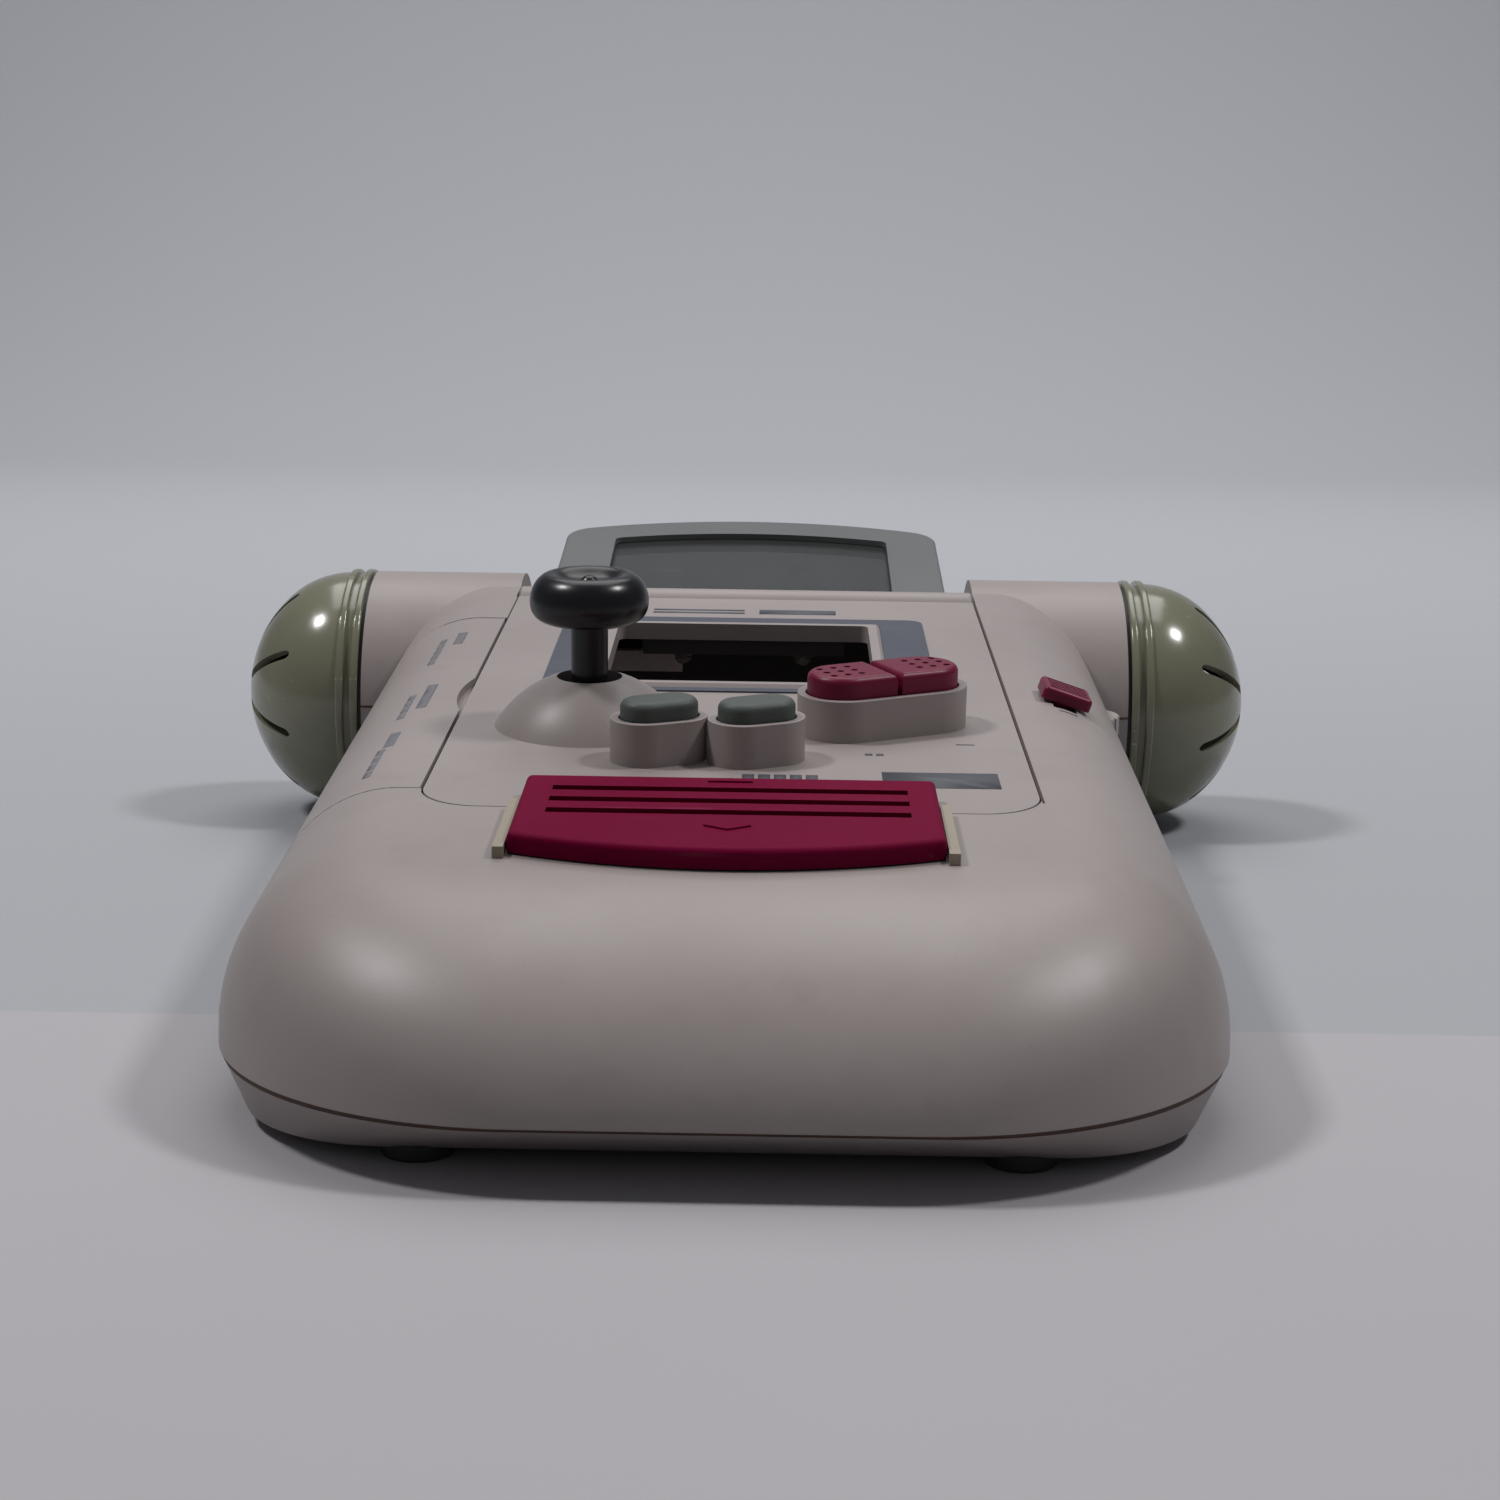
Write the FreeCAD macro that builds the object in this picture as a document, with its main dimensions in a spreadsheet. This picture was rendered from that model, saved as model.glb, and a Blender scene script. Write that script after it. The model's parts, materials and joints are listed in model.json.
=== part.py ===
# Powered carrying case for a handheld game console, with joystick, magnifier and two speakers.
# Millimetres. X runs left to right across the case, Y from the near end to the speaker tube, Z up.
# The origin lies on the table under the middle of the case.
import FreeCAD
import Part
import Sketcher
import math
import os
import re
from FreeCAD import Placement, Rotation, Vector

# Driving sizes
SIZES = {
    # Cross tube that carries the speakers
    "tube_ahead": 78.67,       # tube axis ahead of the origin
    "tube_axis_z": 26.5,
    "tube_radius": 25.5,
    "tube_half": 79.6,
    # Case body
    "wall": 2.4,
    "body_reach": 243.0,       # tube axis to the near end
    "half_near": 71.3,
    "half_far": 74.0,
    "plan_corner": 46.0,
    "top_corner": 14.0,
    "shoulder_run": 21.0,
    "shoulder_drop": 24.0,
    "near_run": 36.0,
    "parting_z": 9.0,
    "under_depth": 7.0,
    "under_near_run": 13.0,
    "under_side_run": 5.3,
    "under_corner": 22.0,
    # Lid plane
    "tilt": 4.54,              # degrees
    "lid_setback": 19.86,      # tube axis to the lid's far edge
    "lid_edge_z": 49.41,
    "lid_half": 47.5,
    "lid_length": 157.0,
    "lid_wall": 2.4,
    "lid_corner": 9.5,
    "lid_gap": 0.3,
    # Lid hinge
    "barrel_radius": 4.2,
    "barrel_drop": 2.8,
    "barrel_play": 0.5,
    "pin_radius": 1.2,
    "pin_play": 0.1,
    # Window
    "window_half": 24.5,
    "window_start": 28.0,
    "window_end": 77.0,
    "rim_width": 2.4,
    "rim_height": 0.9,
    "surround_half": 35.5,
    "surround_start": 19.0,
    "surround_end": 82.0,
    "surround_thick": 0.3,
    # Joystick
    "stick_across": -24.7,
    "stick_along": 106.0,
    "dome_radius": 16.0,
    "dome_height": 8.3,
    "dome_wall": 2.0,
    "dome_hole": 5.5,
    "pivot_rise": 2.4,
    "shaft_radius": 3.1,
    "shaft_top": 17.2,
    "stick_cap_radius": 10.0,
    "shaft_below": 4.5,
    "gimbal_inner": 4.6,
    "gimbal_outer": 7.4,
    "gimbal_height": 2.4,
    "gimbal_pin": 0.9,
    "foot_reach": 8.8,
    "foot_thick": 1.8,
    # Button pods
    "pod_height": 7.0,
    "pod_wall": 1.3,
    "button_play": 0.3,
    "fire_across": 24.55,
    "fire_along": 105.75,
    "fire_spread": 15.4,
    "fire_radius": 7.5,
    "fire_tilt": 27.0,
    "fire_rise": 3.6,
    "fire_split": 0.9,
    "menu_left": -12.0,
    "menu_right": 3.6,
    "menu_along": 127.5,
    "menu_radius": 5.5,
    "menu_spread": 5.1,
    "menu_tilt": 25.0,
    "menu_rise": 3.0,
    "flange_thick": 1.0,
    "flange_lap": 1.2,
    "leaf_thick": 0.4,
    "dimple_radius": 0.6,
    "dimple_pitch": 2.6,
    # Latch
    "latch_half": 31.0,
    "latch_start": 150.0,
    "latch_side_end": 181.0,
    "latch_bow": 6.6,
    "latch_thick": 3.0,
    "latch_travel": 7.5,
    "latch_lift": 0.3,
    "groove_half": 26.5,
    "groove_pitch": 6.0,
    "groove_width": 2.4,
    "groove_depth": 0.9,
    "guide_height": 1.7,
    "guide_width": 1.5,
    "stem_half": 9.0,
    "stem_deep": 3.0,
    "stem_drop": 10.0,
    # Magnifier
    "mag_hinge_back": 7.5,     # tube axis to the magnifier's hinge axis
    "mag_hinge_z": 46.5,
    "mag_slope": 9.8,          # degrees
    "mag_half": 44.5,
    "mag_reach": 92.9,
    "mag_root": 14.0,
    "mag_offset": 6.1,
    "mag_thick": 4.5,
    "mag_border": 12.0,
    "mag_lens_start": 30.0,
    "mag_bow": 10.0,
    "mag_corner": 9.0,
    "mag_ear": 3.2,
    "mag_arm_width": 7.5,
    "mag_pin_radius": 1.5,
    "trough_half": 47.8,
    "trough_play": 1.0,
    # Speakers and their caps
    "cap_gap": 0.8,
    "cap_ring_radius": 25.9,
    "cap_ring_width": 1.6,
    "cap_groove": 1.4,
    "cap_dome_length": 22.0,
    "cap_dome_radius": 25.2,
    "cap_wall": 2.0,
    "slot_width": 1.9,
    "slot_inner": 7.0,
    "slot_outer": 22.2,
    "slot_phase": 27.5,        # degrees
    "slot_count": 8,
    "driver_radius": 22.4,
    "driver_depth": 16.0,
    "magnet_radius": 14.0,
    "magnet_depth": 9.0,
    # Bay that takes the console
    "bay_half": 45.7,
    "bay_wall": 1.3,
    "bay_far": 23.0,
    "bay_near": 174.6,
    "tab_width": 14.8,
    "tab_across": -20.2,
    "tab_low": 35.3,
    "tab_high": 39.5,
    "tab_reach": 4.0,
    # Left hatch
    "hatch_start": 21.0,
    "hatch_end": 147.5,
    "hatch_drop": 17.0,
    "hatch_gap": 0.3,
    "notch_along": 85.6,
    "notch_chord": 23.7,
    "notch_depth": 1.5,
    "rail_thick": 1.2,
    "port_panel_drop": 19.0,
    # Right side controls
    "knob_along": 80.5,
    "knob_across": 57.6,
    "knob_length": 8.6,
    "knob_width": 9.0,
    "knob_proud": 2.6,
    "knob_travel": 4.0,
    "wheel_radius": 10.0,
    "wheel_thick": 3.6,
    "wheel_back": 57.5,
    "wheel_level": 31.0,
    "wheel_proud": 1.6,
    "pot_radius": 6.0,
    "board_level": 24.0,
    "board_thick": 1.6,
    "board_far": 44.0,
    "board_near": 122.0,
    # Lamps over the window
    "lamp_along": 23.0,
    "lamp_across": 12.0,
    "lamp_radius": 1.8,
    # Batteries
    "cell_radius": 7.2,
    "cell_length": 50.0,
    "tray_far": 182.0,
    "tray_wall": 1.2,
    "door_gap": 0.3,
    "door_thick": 1.8,
    "contact_thick": 0.4,
    # Feet and screws
    "foot_radius": 5.0,
    "foot_height": 3.2,
    "feet_across": 40.2,
    "feet_near": 226.0,
    "feet_far": 32.0,
    "screw_radius": 1.4,
    "screw_head": 2.7,
    "boss_radius": 3.6,
    "screw_grip": 8.0,
    # Latch spring
    "coil_radius": 2.6,
    "coil_wire": 0.5,
}

doc = FreeCAD.newDocument("booster_case")
sheet = doc.addObject("Spreadsheet::Sheet", "Sizes")
for row, (alias, amount) in enumerate(SIZES.items(), start=1):
    sheet.set(f"A{row}", alias)
    sheet.set(f"B{row}", str(amount))
    sheet.setAlias(f"B{row}", alias)
doc.recompute()


def size(alias):
    """The value that the sheet holds for one driving size."""
    return float(sheet.get(alias))


def expression(text):
    """The same expression with each alias turned into a reference to the sheet."""
    return re.sub(r"[a-z_]+[a-z]", lambda m: f"Sizes.{m[0]}" if m[0] in SIZES else m[0], text)


def value(text):
    """What an expression of aliases comes to."""
    return float(sheet.evalExpression(expression(text)))


# Frames of reference. In lid_frame x runs across the lid's top face, -y towards the near end, z out.
TUBE_Y = size("tube_ahead")
LID_TURN = Rotation(Vector(1, 0, 0), size("tilt"))
lid_frame = Placement(Vector(0, TUBE_Y - size("lid_setback"), size("lid_edge_z")), LID_TURN)
mag_frame = Placement(
    Vector(0, TUBE_Y - size("mag_hinge_back"), size("mag_hinge_z")),
    Rotation(Vector(1, 0, 0), size("mag_slope")),
)
BARREL_AT = Vector(0, size("barrel_radius"), -size("barrel_drop"))

nodes = {}


def keep(label, item):
    """Give a finished sub-part its name and put it on the list that is written out."""
    item.Label = label
    nodes[label] = item
    return item


def feature(label, shape, place=None):
    """A sub-part whose form is made with Part's own functions."""
    item = doc.addObject("Part::Feature", label)
    item.Shape = shape
    if place is not None:
        item.Placement = place
    return keep(label, item)


# Profiles and solids made from them
def rounded_wire(corners):
    """A closed wire through (x, y, radius) corners, with an arc at each corner that has a radius."""
    edges = []
    ends = []
    count = len(corners)
    for i, (x, y, radius) in enumerate(corners):
        here = Vector(x, y, 0)
        if radius <= 0:
            ends.append((here, here))
            continue
        back = (Vector(*corners[i - 1][:2], 0) - here).normalize()
        ahead = (Vector(*corners[(i + 1) % count][:2], 0) - here).normalize()
        half = back.getAngle(ahead) / 2
        run = radius / math.tan(half)
        inward = (back + ahead).normalize()
        middle = here + inward * (radius / math.sin(half) - radius)
        start, stop = here + back * run, here + ahead * run
        edges.append(Part.Arc(start, middle, stop).toShape())
        ends.append((start, stop))
    for i in range(count):
        start, stop = ends[i][1], ends[(i + 1) % count][0]
        if start.distanceToPoint(stop) > 1e-6:
            edges.append(Part.LineSegment(start, stop).toShape())
    return Part.Wire(Part.__sortEdges__(edges))


def prism(wire, low, high):
    """The wire's face carried from one height to another."""
    face = Part.Face(wire)
    face.translate(Vector(0, 0, low))
    return face.extrude(Vector(0, 0, high - low))


def block(x0, x1, y0, y1, z0, z1):
    """A box between two corners."""
    return Part.makeBox(x1 - x0, y1 - y0, z1 - z0, Vector(x0, y0, z0))


def capsule_wire(x, y, half_length, radius, turn):
    """A slot outline about (x, y) whose long axis is turned by an angle."""
    along = Vector(math.cos(math.radians(turn)), math.sin(math.radians(turn)), 0)
    side = Vector(-along.y, along.x, 0)
    middle = Vector(x, y, 0)
    one, two = middle + along * half_length, middle - along * half_length
    return Part.Wire([
        Part.Arc(one - side * radius, one + along * radius, one + side * radius).toShape(),
        Part.LineSegment(one + side * radius, two + side * radius).toShape(),
        Part.Arc(two + side * radius, two - along * radius, two - side * radius).toShape(),
        Part.LineSegment(two - side * radius, one - side * radius).toShape(),
    ])


def rod(radius, start, length, direction=Vector(1, 0, 0)):
    """A round bar from a point along a direction."""
    return Part.makeCylinder(radius, length, start, direction)


def softened(shape, radius, chosen):
    """The shape with a fillet on each edge that the test picks."""
    edges = [edge for edge in shape.Edges if chosen(edge)]
    return shape.makeFillet(radius, edges)


def level(edge, height):
    """Whether an edge lies flat at a height."""
    box = edge.BoundBox
    return abs(box.ZMin - height) < 0.01 and abs(box.ZMax - height) < 0.01


# Parametric bodies
def origin_item(body, role):
    return next(item for item in body.Origin.OriginFeatures if item.Role == role)


def sketch_on(body, name, plane, points):
    """A closed polygon sketch whose corners are expressions of the sheet's aliases."""
    sketch = body.newObject("Sketcher::SketchObject", name)
    sketch.AttachmentSupport = [(origin_item(body, plane), "")]
    sketch.MapMode = "FlatFace"
    corners = [Vector(value(x), value(y), 0) for x, y in points]
    count = len(corners)
    for i in range(count):
        sketch.addGeometry(Part.LineSegment(corners[i], corners[(i + 1) % count]), False)
    for i in range(count):
        sketch.addConstraint(Sketcher.Constraint("Coincident", i, 2, (i + 1) % count, 1))
    for i, (x, y) in enumerate(points):
        for kind, text, number in (("DistanceX", x, corners[i].x), ("DistanceY", y, corners[i].y)):
            at = sketch.addConstraint(Sketcher.Constraint(kind, -1, 1, i, 1, number))
            if re.search("[a-z]", text):
                sketch.setExpression(f"Constraints[{at}]", expression(text))
    return sketch


def turned(label, points, place, rounds=()):
    """A body of revolution: (radius, height) corners turned about its own Z axis.

    rounds holds (radius, height, fillet) for the circular edges that are rounded.
    """
    body = doc.addObject("PartDesign::Body", label)
    sketch = sketch_on(body, f"{label}_profile", "XZ_Plane", points)
    turn = body.newObject("PartDesign::Revolution", f"{label}_turn")
    turn.Profile = sketch
    turn.ReferenceAxis = (sketch, ["V_Axis"])
    turn.Angle = 360.0
    doc.recompute()
    for at, (radius, height, fillet) in enumerate(rounds):
        names = []
        for number, edge in enumerate(body.Tip.Shape.Edges, start=1):
            box = edge.BoundBox
            if abs(box.XMax - value(radius)) < 0.01 and level(edge, value(height)):
                names.append(f"Edge{number}")
        round_off = body.newObject("PartDesign::Fillet", f"{label}_round{at}")
        round_off.Base = (turn if at == 0 else last, names)
        round_off.setExpression("Radius", expression(fillet))
        last = round_off
        doc.recompute()
    body.Placement = place
    return keep(label, body)


def padded(label, points, length, place, plane="XY_Plane"):
    """A body padded from a polygon of (x, y) corners, all expressions."""
    body = doc.addObject("PartDesign::Body", label)
    sketch = sketch_on(body, f"{label}_outline", plane, points)
    pad = body.newObject("PartDesign::Pad", f"{label}_pad")
    pad.Profile = sketch
    pad.setExpression("Length", expression(length))
    doc.recompute()
    body.Placement = place
    return keep(label, body)


# Case body: sections parallel to the lid plane above the parting line, level ones below it
def plan_section(inset, side_run, near_run, corner, scale=1.0):
    """The case's outline seen from above, drawn in by the given runs on top of the wall inset."""
    near = -(size("body_reach") - inset - near_run) * scale
    half_near = size("half_near") - inset - side_run
    half_far = size("half_far") - inset - side_run
    return rounded_wire([
        (half_far, 0, 0),
        (-half_far, 0, 0),
        (-half_near, near, corner),
        (half_near, near, corner),
    ])


def case_body(inset):
    """The solid inside the case's outer face, or inside its inner face when inset by the wall."""
    drop = size("shoulder_drop")
    depth = size("under_depth")
    shrink = size("plan_corner") - size("top_corner")
    stretch = 1 / math.cos(math.radians(size("tilt")))
    top_z = size("lid_edge_z") + math.tan(math.radians(size("tilt"))) * size("lid_setback")
    sections = []
    for angle in range(0, 91, 15):
        turn = math.radians(angle)
        ease = 1 - math.sin(turn)
        wire = plan_section(
            inset,
            (size("shoulder_run") - inset) * ease,
            (size("near_run") - inset) * ease,
            size("plan_corner") - inset - (shrink - inset) * ease,
            stretch,
        )
        fall = drop - (drop - inset) * math.cos(turn)
        wire.Placement = Placement(Vector(0, TUBE_Y, top_z - fall), LID_TURN)
        sections.append(wire)
    upper = Part.makeLoft(sections, True)
    skirt = Part.Face(sections[-1]).extrude(Vector(0, 0, -top_z))
    ground = block(-200, 200, -300, 300, -100, size("parting_z"))
    upper = upper.fuse(skirt).cut(ground).removeSplitter()
    under = size("plan_corner") - size("under_corner")
    sections = []
    for part in (0, 1):
        wire = plan_section(
            inset,
            (size("under_side_run") - inset) * part,
            (size("under_near_run") - inset) * part,
            size("plan_corner") - inset - (under - inset) * part,
        )
        wire.Placement = Placement(
            Vector(0, TUBE_Y, size("parting_z") - (depth - inset) * part), Rotation())
        sections.append(wire)
    lower = Part.makeLoft(sections, True, True)
    return upper.fuse(lower)


def troughs(grow):
    """Room cut into the tube's top for the lid's barrel and the folded-back magnifier."""
    half = size("trough_half") + grow
    radius = size("barrel_radius") + size("barrel_play") + grow
    barrel = rod(radius, Vector(-half, BARREL_AT.y, BARREL_AT.z), 2 * half)
    barrel.Placement = lid_frame.multiply(barrel.Placement)
    floor = -(size("mag_offset") + size("mag_thick") + size("trough_play") + grow)
    start = -(size("mag_ear") + size("trough_play") + grow)
    deck = block(-half, half, start, 60, floor, 40)
    deck.Placement = mag_frame
    return barrel.fuse(deck)


def case_solid(inset):
    """Case body and cross tube together, less the troughs in the tube's top."""
    reach = size("tube_half") + (10 if inset else 0)
    axis = Vector(-reach, TUBE_Y, size("tube_axis_z"))
    tube = rod(size("tube_radius") - inset, axis, 2 * reach)
    return case_body(inset).fuse(tube).cut(troughs(inset))


def lid_block(x0, x1, v0, v1, w0, w1):
    """A box in the lid's frame, from v0 to v1 towards the near end and w0 to w1 out of the face."""
    shape = block(x0, x1, -v1, -v0, w0, w1)
    shape.Placement = lid_frame
    return shape


outer_case = case_solid(0)
inner_case = case_solid(size("wall"))
case_shell = outer_case.cut(inner_case)

# The two shells part at parting_z in front of the tube and at the tube's axis along it
split_y = TUBE_Y - size("tube_radius")
upper_zone = block(-200, 200, -300, split_y, size("parting_z"), 200).fuse(
    block(-200, 200, split_y, 300, size("tube_axis_z"), 200))

SCREWS = [
    Vector(x, TUBE_Y + y, 0)
    for x, y in ((-64, -36), (64, -36), (-61, -160), (61, -160), (-34, -222), (34, -222))
]


def lid_opening():
    """The hole that the lid fills, with its two round near corners."""
    half = size("lid_half")
    wire = rounded_wire([
        (half, 2, 0), (-half, 2, 0),
        (-half, -size("lid_length"), size("lid_corner")),
        (half, -size("lid_length"), size("lid_corner")),
    ])
    shape = prism(wire, -14, 12)
    shape.Placement = lid_frame
    return shape


def hatch_zone(gap):
    """The stretch of the left shoulder that the hatch takes, drawn in by a gap all round."""
    return lid_block(
        -100, -size("lid_half") - gap,
        size("hatch_start") + gap, size("hatch_end") - gap,
        -size("hatch_drop") + gap, 5)


def shoulder(x, back):
    """How far the shoulder has fallen from the lid plane, and its lean, at a place on it."""
    run = size("shoulder_run")
    reach = size("body_reach") - size("near_run")
    half = size("half_far") + (size("half_near") - size("half_far")) * back / reach
    part = (x - half + run) / run
    cosine = math.sqrt(1 - part ** 2)
    lean = math.degrees(math.atan(size("shoulder_drop") / run * part / cosine))
    return size("shoulder_drop") * (1 - cosine), lean


def knob_frame():
    """Where the slide knob sits on the right shoulder, z out of the surface."""
    drop, lean = shoulder(size("knob_across"), size("knob_along") + size("lid_setback"))
    at = Vector(size("knob_across"), -size("knob_along"), -drop)
    return lid_frame.multiply(Placement(at, Rotation(Vector(0, 1, 0), lean)))


def latch_middle():
    """Where the latch's stem stands, along the lid plane."""
    return size("latch_start") + 20.0


def upper_shell():
    shell = case_shell.common(upper_zone)
    for at in SCREWS:
        post = rod(size("boss_radius"), at + Vector(0, 0, size("parting_z")), 60, Vector(0, 0, 1))
        if abs(at.x) > size("lid_half"):
            side = math.copysign(1, at.x)
            web = block(min(at.x, side * 90), max(at.x, side * 90), at.y - 1, at.y + 1, size("parting_z"), 26)
            post = post.fuse(web)
        shell = shell.fuse(post.common(outer_case).cut(lid_opening()))
    shell = shell.cut(lid_opening())
    for side in (-1, 1):
        inner = side * (size("latch_half") + size("button_play"))
        outer = inner + side * size("guide_width")
        rib = lid_block(min(inner, outer), max(inner, outer), size("lid_length") + 1.2,
                        size("latch_side_end") + 2.0, -1.0, size("guide_height"))
        shell = shell.fuse(rib)
    stem = size("stem_half") + 0.4
    slot_near = latch_middle() + size("stem_deep") + size("latch_travel") + 0.4
    slot = lid_block(-stem, stem, latch_middle() - size("stem_deep") - 0.4, slot_near, -6, 1)
    shell = shell.cut(slot)
    shell = shell.cut(hatch_zone(0))
    seam = -size("lid_half") - size("hatch_gap")
    rail = lid_block(seam - size("rail_thick"), seam, size("hatch_start") - 8, size("hatch_end") + 4,
                     -size("wall") - 10, -size("wall") - 0.4)
    shell = shell.fuse(rail)
    seat_at = latch_middle() + size("stem_deep") + 14.0
    shell = shell.fuse(lid_block(-6, 6, seat_at, seat_at + 1.6, -10, -1).common(outer_case))
    for at in SCREWS:
        start = at + Vector(0, 0, size("parting_z") - 1)
        bore = rod(size("screw_radius"), start, size("screw_grip"), Vector(0, 0, 1))
        shell = shell.cut(bore)
    for pin in (lid_pin(0), mag_pin(-1, 0), mag_pin(1, 0)):
        shell = shell.cut(pin)
    knob_slot = block(-size("knob_width") / 4, size("knob_width") / 4,
                      -size("knob_length") / 4 - size("knob_travel") - 0.4,
                      size("knob_length") / 4 + 0.4, -8, 6)
    knob_slot.Placement = knob_frame()
    shell = shell.cut(knob_slot)
    shell = shell.cut(wheel_slot())
    return max(shell.removeSplitter().Solids, key=lambda solid: solid.Volume)


def lid_pin(play):
    """The lid's hinge pin, or its bore when given some play."""
    half = size("trough_half")
    pin = rod(size("pin_radius") + play, Vector(-half - 2, BARREL_AT.y, BARREL_AT.z), 2 * half + 4)
    pin.Placement = lid_frame.multiply(pin.Placement)
    return pin


def mag_pin(side, play):
    """One of the magnifier's two short hinge pins."""
    start = Vector(side * (size("trough_half") - 6), 0, 0)
    pin = rod(size("mag_pin_radius") + play, start, 8, Vector(side, 0, 0))
    pin.Placement = mag_frame.multiply(pin.Placement)
    return pin


def wheel_place():
    """The thumbwheel's middle, level with the lid plane's tilt."""
    edge = size("half_far") - 2.1 + size("wheel_proud")
    return Placement(
        Vector(edge - size("wheel_radius"), TUBE_Y - size("wheel_back"), size("wheel_level")), Rotation())


def wheel_slot():
    half = size("wheel_thick") / 2 + 0.5
    shape = rod(size("wheel_radius") + 0.5, Vector(0, 0, -half), 2 * half, Vector(0, 0, 1))
    shape.Placement = wheel_place()
    return shape


def tray_box():
    """Low and high corners of the inside of the battery tray."""
    half = size("cell_length") + 2.0
    depth = 4 * size("cell_radius") + 0.8
    far = TUBE_Y - size("tray_far")
    floor = size("parting_z") - size("under_depth") + size("wall")
    return Vector(-half, far - depth, floor), Vector(half, far, floor + 2 * size("cell_radius") + 0.8)


def door_wire(gap):
    low, high = tray_box()
    return rounded_wire([
        (low.x + gap, low.y + gap, 3), (high.x - gap, low.y + gap, 3),
        (high.x - gap, high.y - gap, 0.5), (low.x + gap, high.y - gap, 0.5)])


def foot_spots():
    across = size("feet_across")
    return [Vector(side * across, TUBE_Y - back, 0)
            for side in (-1, 1) for back in (size("feet_near"), size("feet_far"))]


def board_middle():
    """The amplifier board's middle, halfway between the bay wall and the right side wall."""
    return (size("bay_half") + size("bay_wall") + size("half_near") - size("wall")) / 2


def board_posts():
    return [TUBE_Y - size("board_far") - 6, TUBE_Y - size("board_near") + 6]


def lower_shell():
    shell = case_shell.cut(upper_zone)
    floor = size("parting_z") - size("under_depth")
    for at in SCREWS:
        post = rod(size("boss_radius"), at, size("parting_z"), Vector(0, 0, 1))
        shell = shell.fuse(post.common(outer_case))
    for at in SCREWS:
        shell = shell.cut(rod(size("screw_radius") + 0.3, at, 30, Vector(0, 0, 1)))
        shell = shell.cut(rod(size("screw_head") + 0.3, at, floor + 3.0, Vector(0, 0, 1)))
    for at in foot_spots():
        shell = shell.cut(rod(size("foot_radius"), at, size("foot_height"), Vector(0, 0, 1)))
    shell = shell.cut(prism(door_wire(0), floor - 1, floor + size("wall") + 0.2))
    for y in board_posts():
        rise = size("board_level") - floor - 1
        post = rod(2.6, Vector(board_middle(), y, floor + 1), rise, Vector(0, 0, 1))
        shell = shell.fuse(post)
    return max(shell.removeSplitter().Solids, key=lambda solid: solid.Volume)


feature("upper_shell", upper_shell())
feature("lower_shell", lower_shell())


def port_hatch():
    """The left shoulder's hinged panel, with a finger notch in its inner edge."""
    panel = case_shell.common(hatch_zone(size("hatch_gap")))
    depth = size("notch_depth")
    radius = ((size("notch_chord") / 2) ** 2 + depth ** 2) / (2 * depth)
    at = Vector(-size("lid_half") - size("hatch_gap") - depth + radius, -size("notch_along"), -1.4)
    notch = rod(radius, at, 8, Vector(0, 0, 1))
    notch.Placement = lid_frame.multiply(notch.Placement)
    return max(panel.cut(notch).Solids, key=lambda solid: solid.Volume)


feature("port_hatch", port_hatch())


def port_panel():
    """The shelf of sockets that the hatch covers."""
    low = -size("port_panel_drop") - 1.5
    seam = -size("bay_half") - size("bay_wall") - 0.3
    shelf = lid_block(-100, seam, size("hatch_start") + 2, size("hatch_end") - 13.5, low, low + 1.5)
    for along in (45, 88, 122):
        hole = rod(3.4, Vector(-57, -along, low - 1), 4, Vector(0, 0, 1))
        hole.Placement = lid_frame.multiply(hole.Placement)
        shelf = shelf.cut(hole)
    return shelf.common(inner_case)


def port_sockets():
    """Three round sockets set in the shelf."""
    low = -size("port_panel_drop") - 1.5
    sockets = []
    for along in (45, 88, 122):
        body = rod(3.4, Vector(-57, -along, low - 6), 8.5, Vector(0, 0, 1))
        body = body.fuse(rod(4.4, Vector(-57, -along, low + 1.5), 1.0, Vector(0, 0, 1)))
        body = body.cut(rod(1.8, Vector(-57, -along, low - 4), 9, Vector(0, 0, 1)))
        body.Placement = lid_frame.multiply(body.Placement)
        sockets.append(body.removeSplitter())
    return Part.makeCompound(sockets)


feature("port_panel", port_panel())
feature("port_sockets", port_sockets())


# Bay walls, cut off under the lid and round its barrel
def bay_walls():
    half = size("bay_half")
    wall = size("bay_wall")
    far = TUBE_Y - size("bay_far")
    near = TUBE_Y - size("bay_near")
    floor = size("parting_z") - size("under_depth") + size("wall")
    shape = block(-half - wall, half + wall, near - wall, far + wall, floor, 60)
    shape = shape.cut(block(-half, half, near, far, floor - 1, 61))
    shape = shape.cut(lid_block(-100, 100, -30, 200, -size("lid_wall") - 0.4, 40))
    shape = shape.cut(troughs(size("wall") + 0.1))
    for side in (-1, 1):
        vent = block(side * half - 3, side * half + 3, near + 30, far - 40, floor + 6, floor + 12)
        shape = shape.cut(vent)
    return shape


feature("bay_walls", bay_walls())
padded(
    "bay_tab",
    [("tab_across - tab_width / 2", "-bay_far - tab_reach"),
     ("tab_across + tab_width / 2", "-bay_far - tab_reach"),
     ("tab_across + tab_width / 2", "-bay_far"), ("tab_across - tab_width / 2", "-bay_far")],
    "tab_high - tab_low", Placement(Vector(0, TUBE_Y, size("tab_low")), Rotation()))


# Lid
def capsule(x, v, spread, radius, turn, low, high):
    """An upright capsule in the lid's frame."""
    return prism(capsule_wire(x, -v, spread / 2, radius, turn), low, high)


def fire_pod(radius, low, high):
    return capsule(size("fire_across"), size("fire_along"), size("fire_spread"), radius,
                   size("fire_tilt"), low, high)


def menu_pod(x, radius, low, high):
    return capsule(x, size("menu_along"), size("menu_spread"), radius, size("menu_tilt"), low, high)


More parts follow.
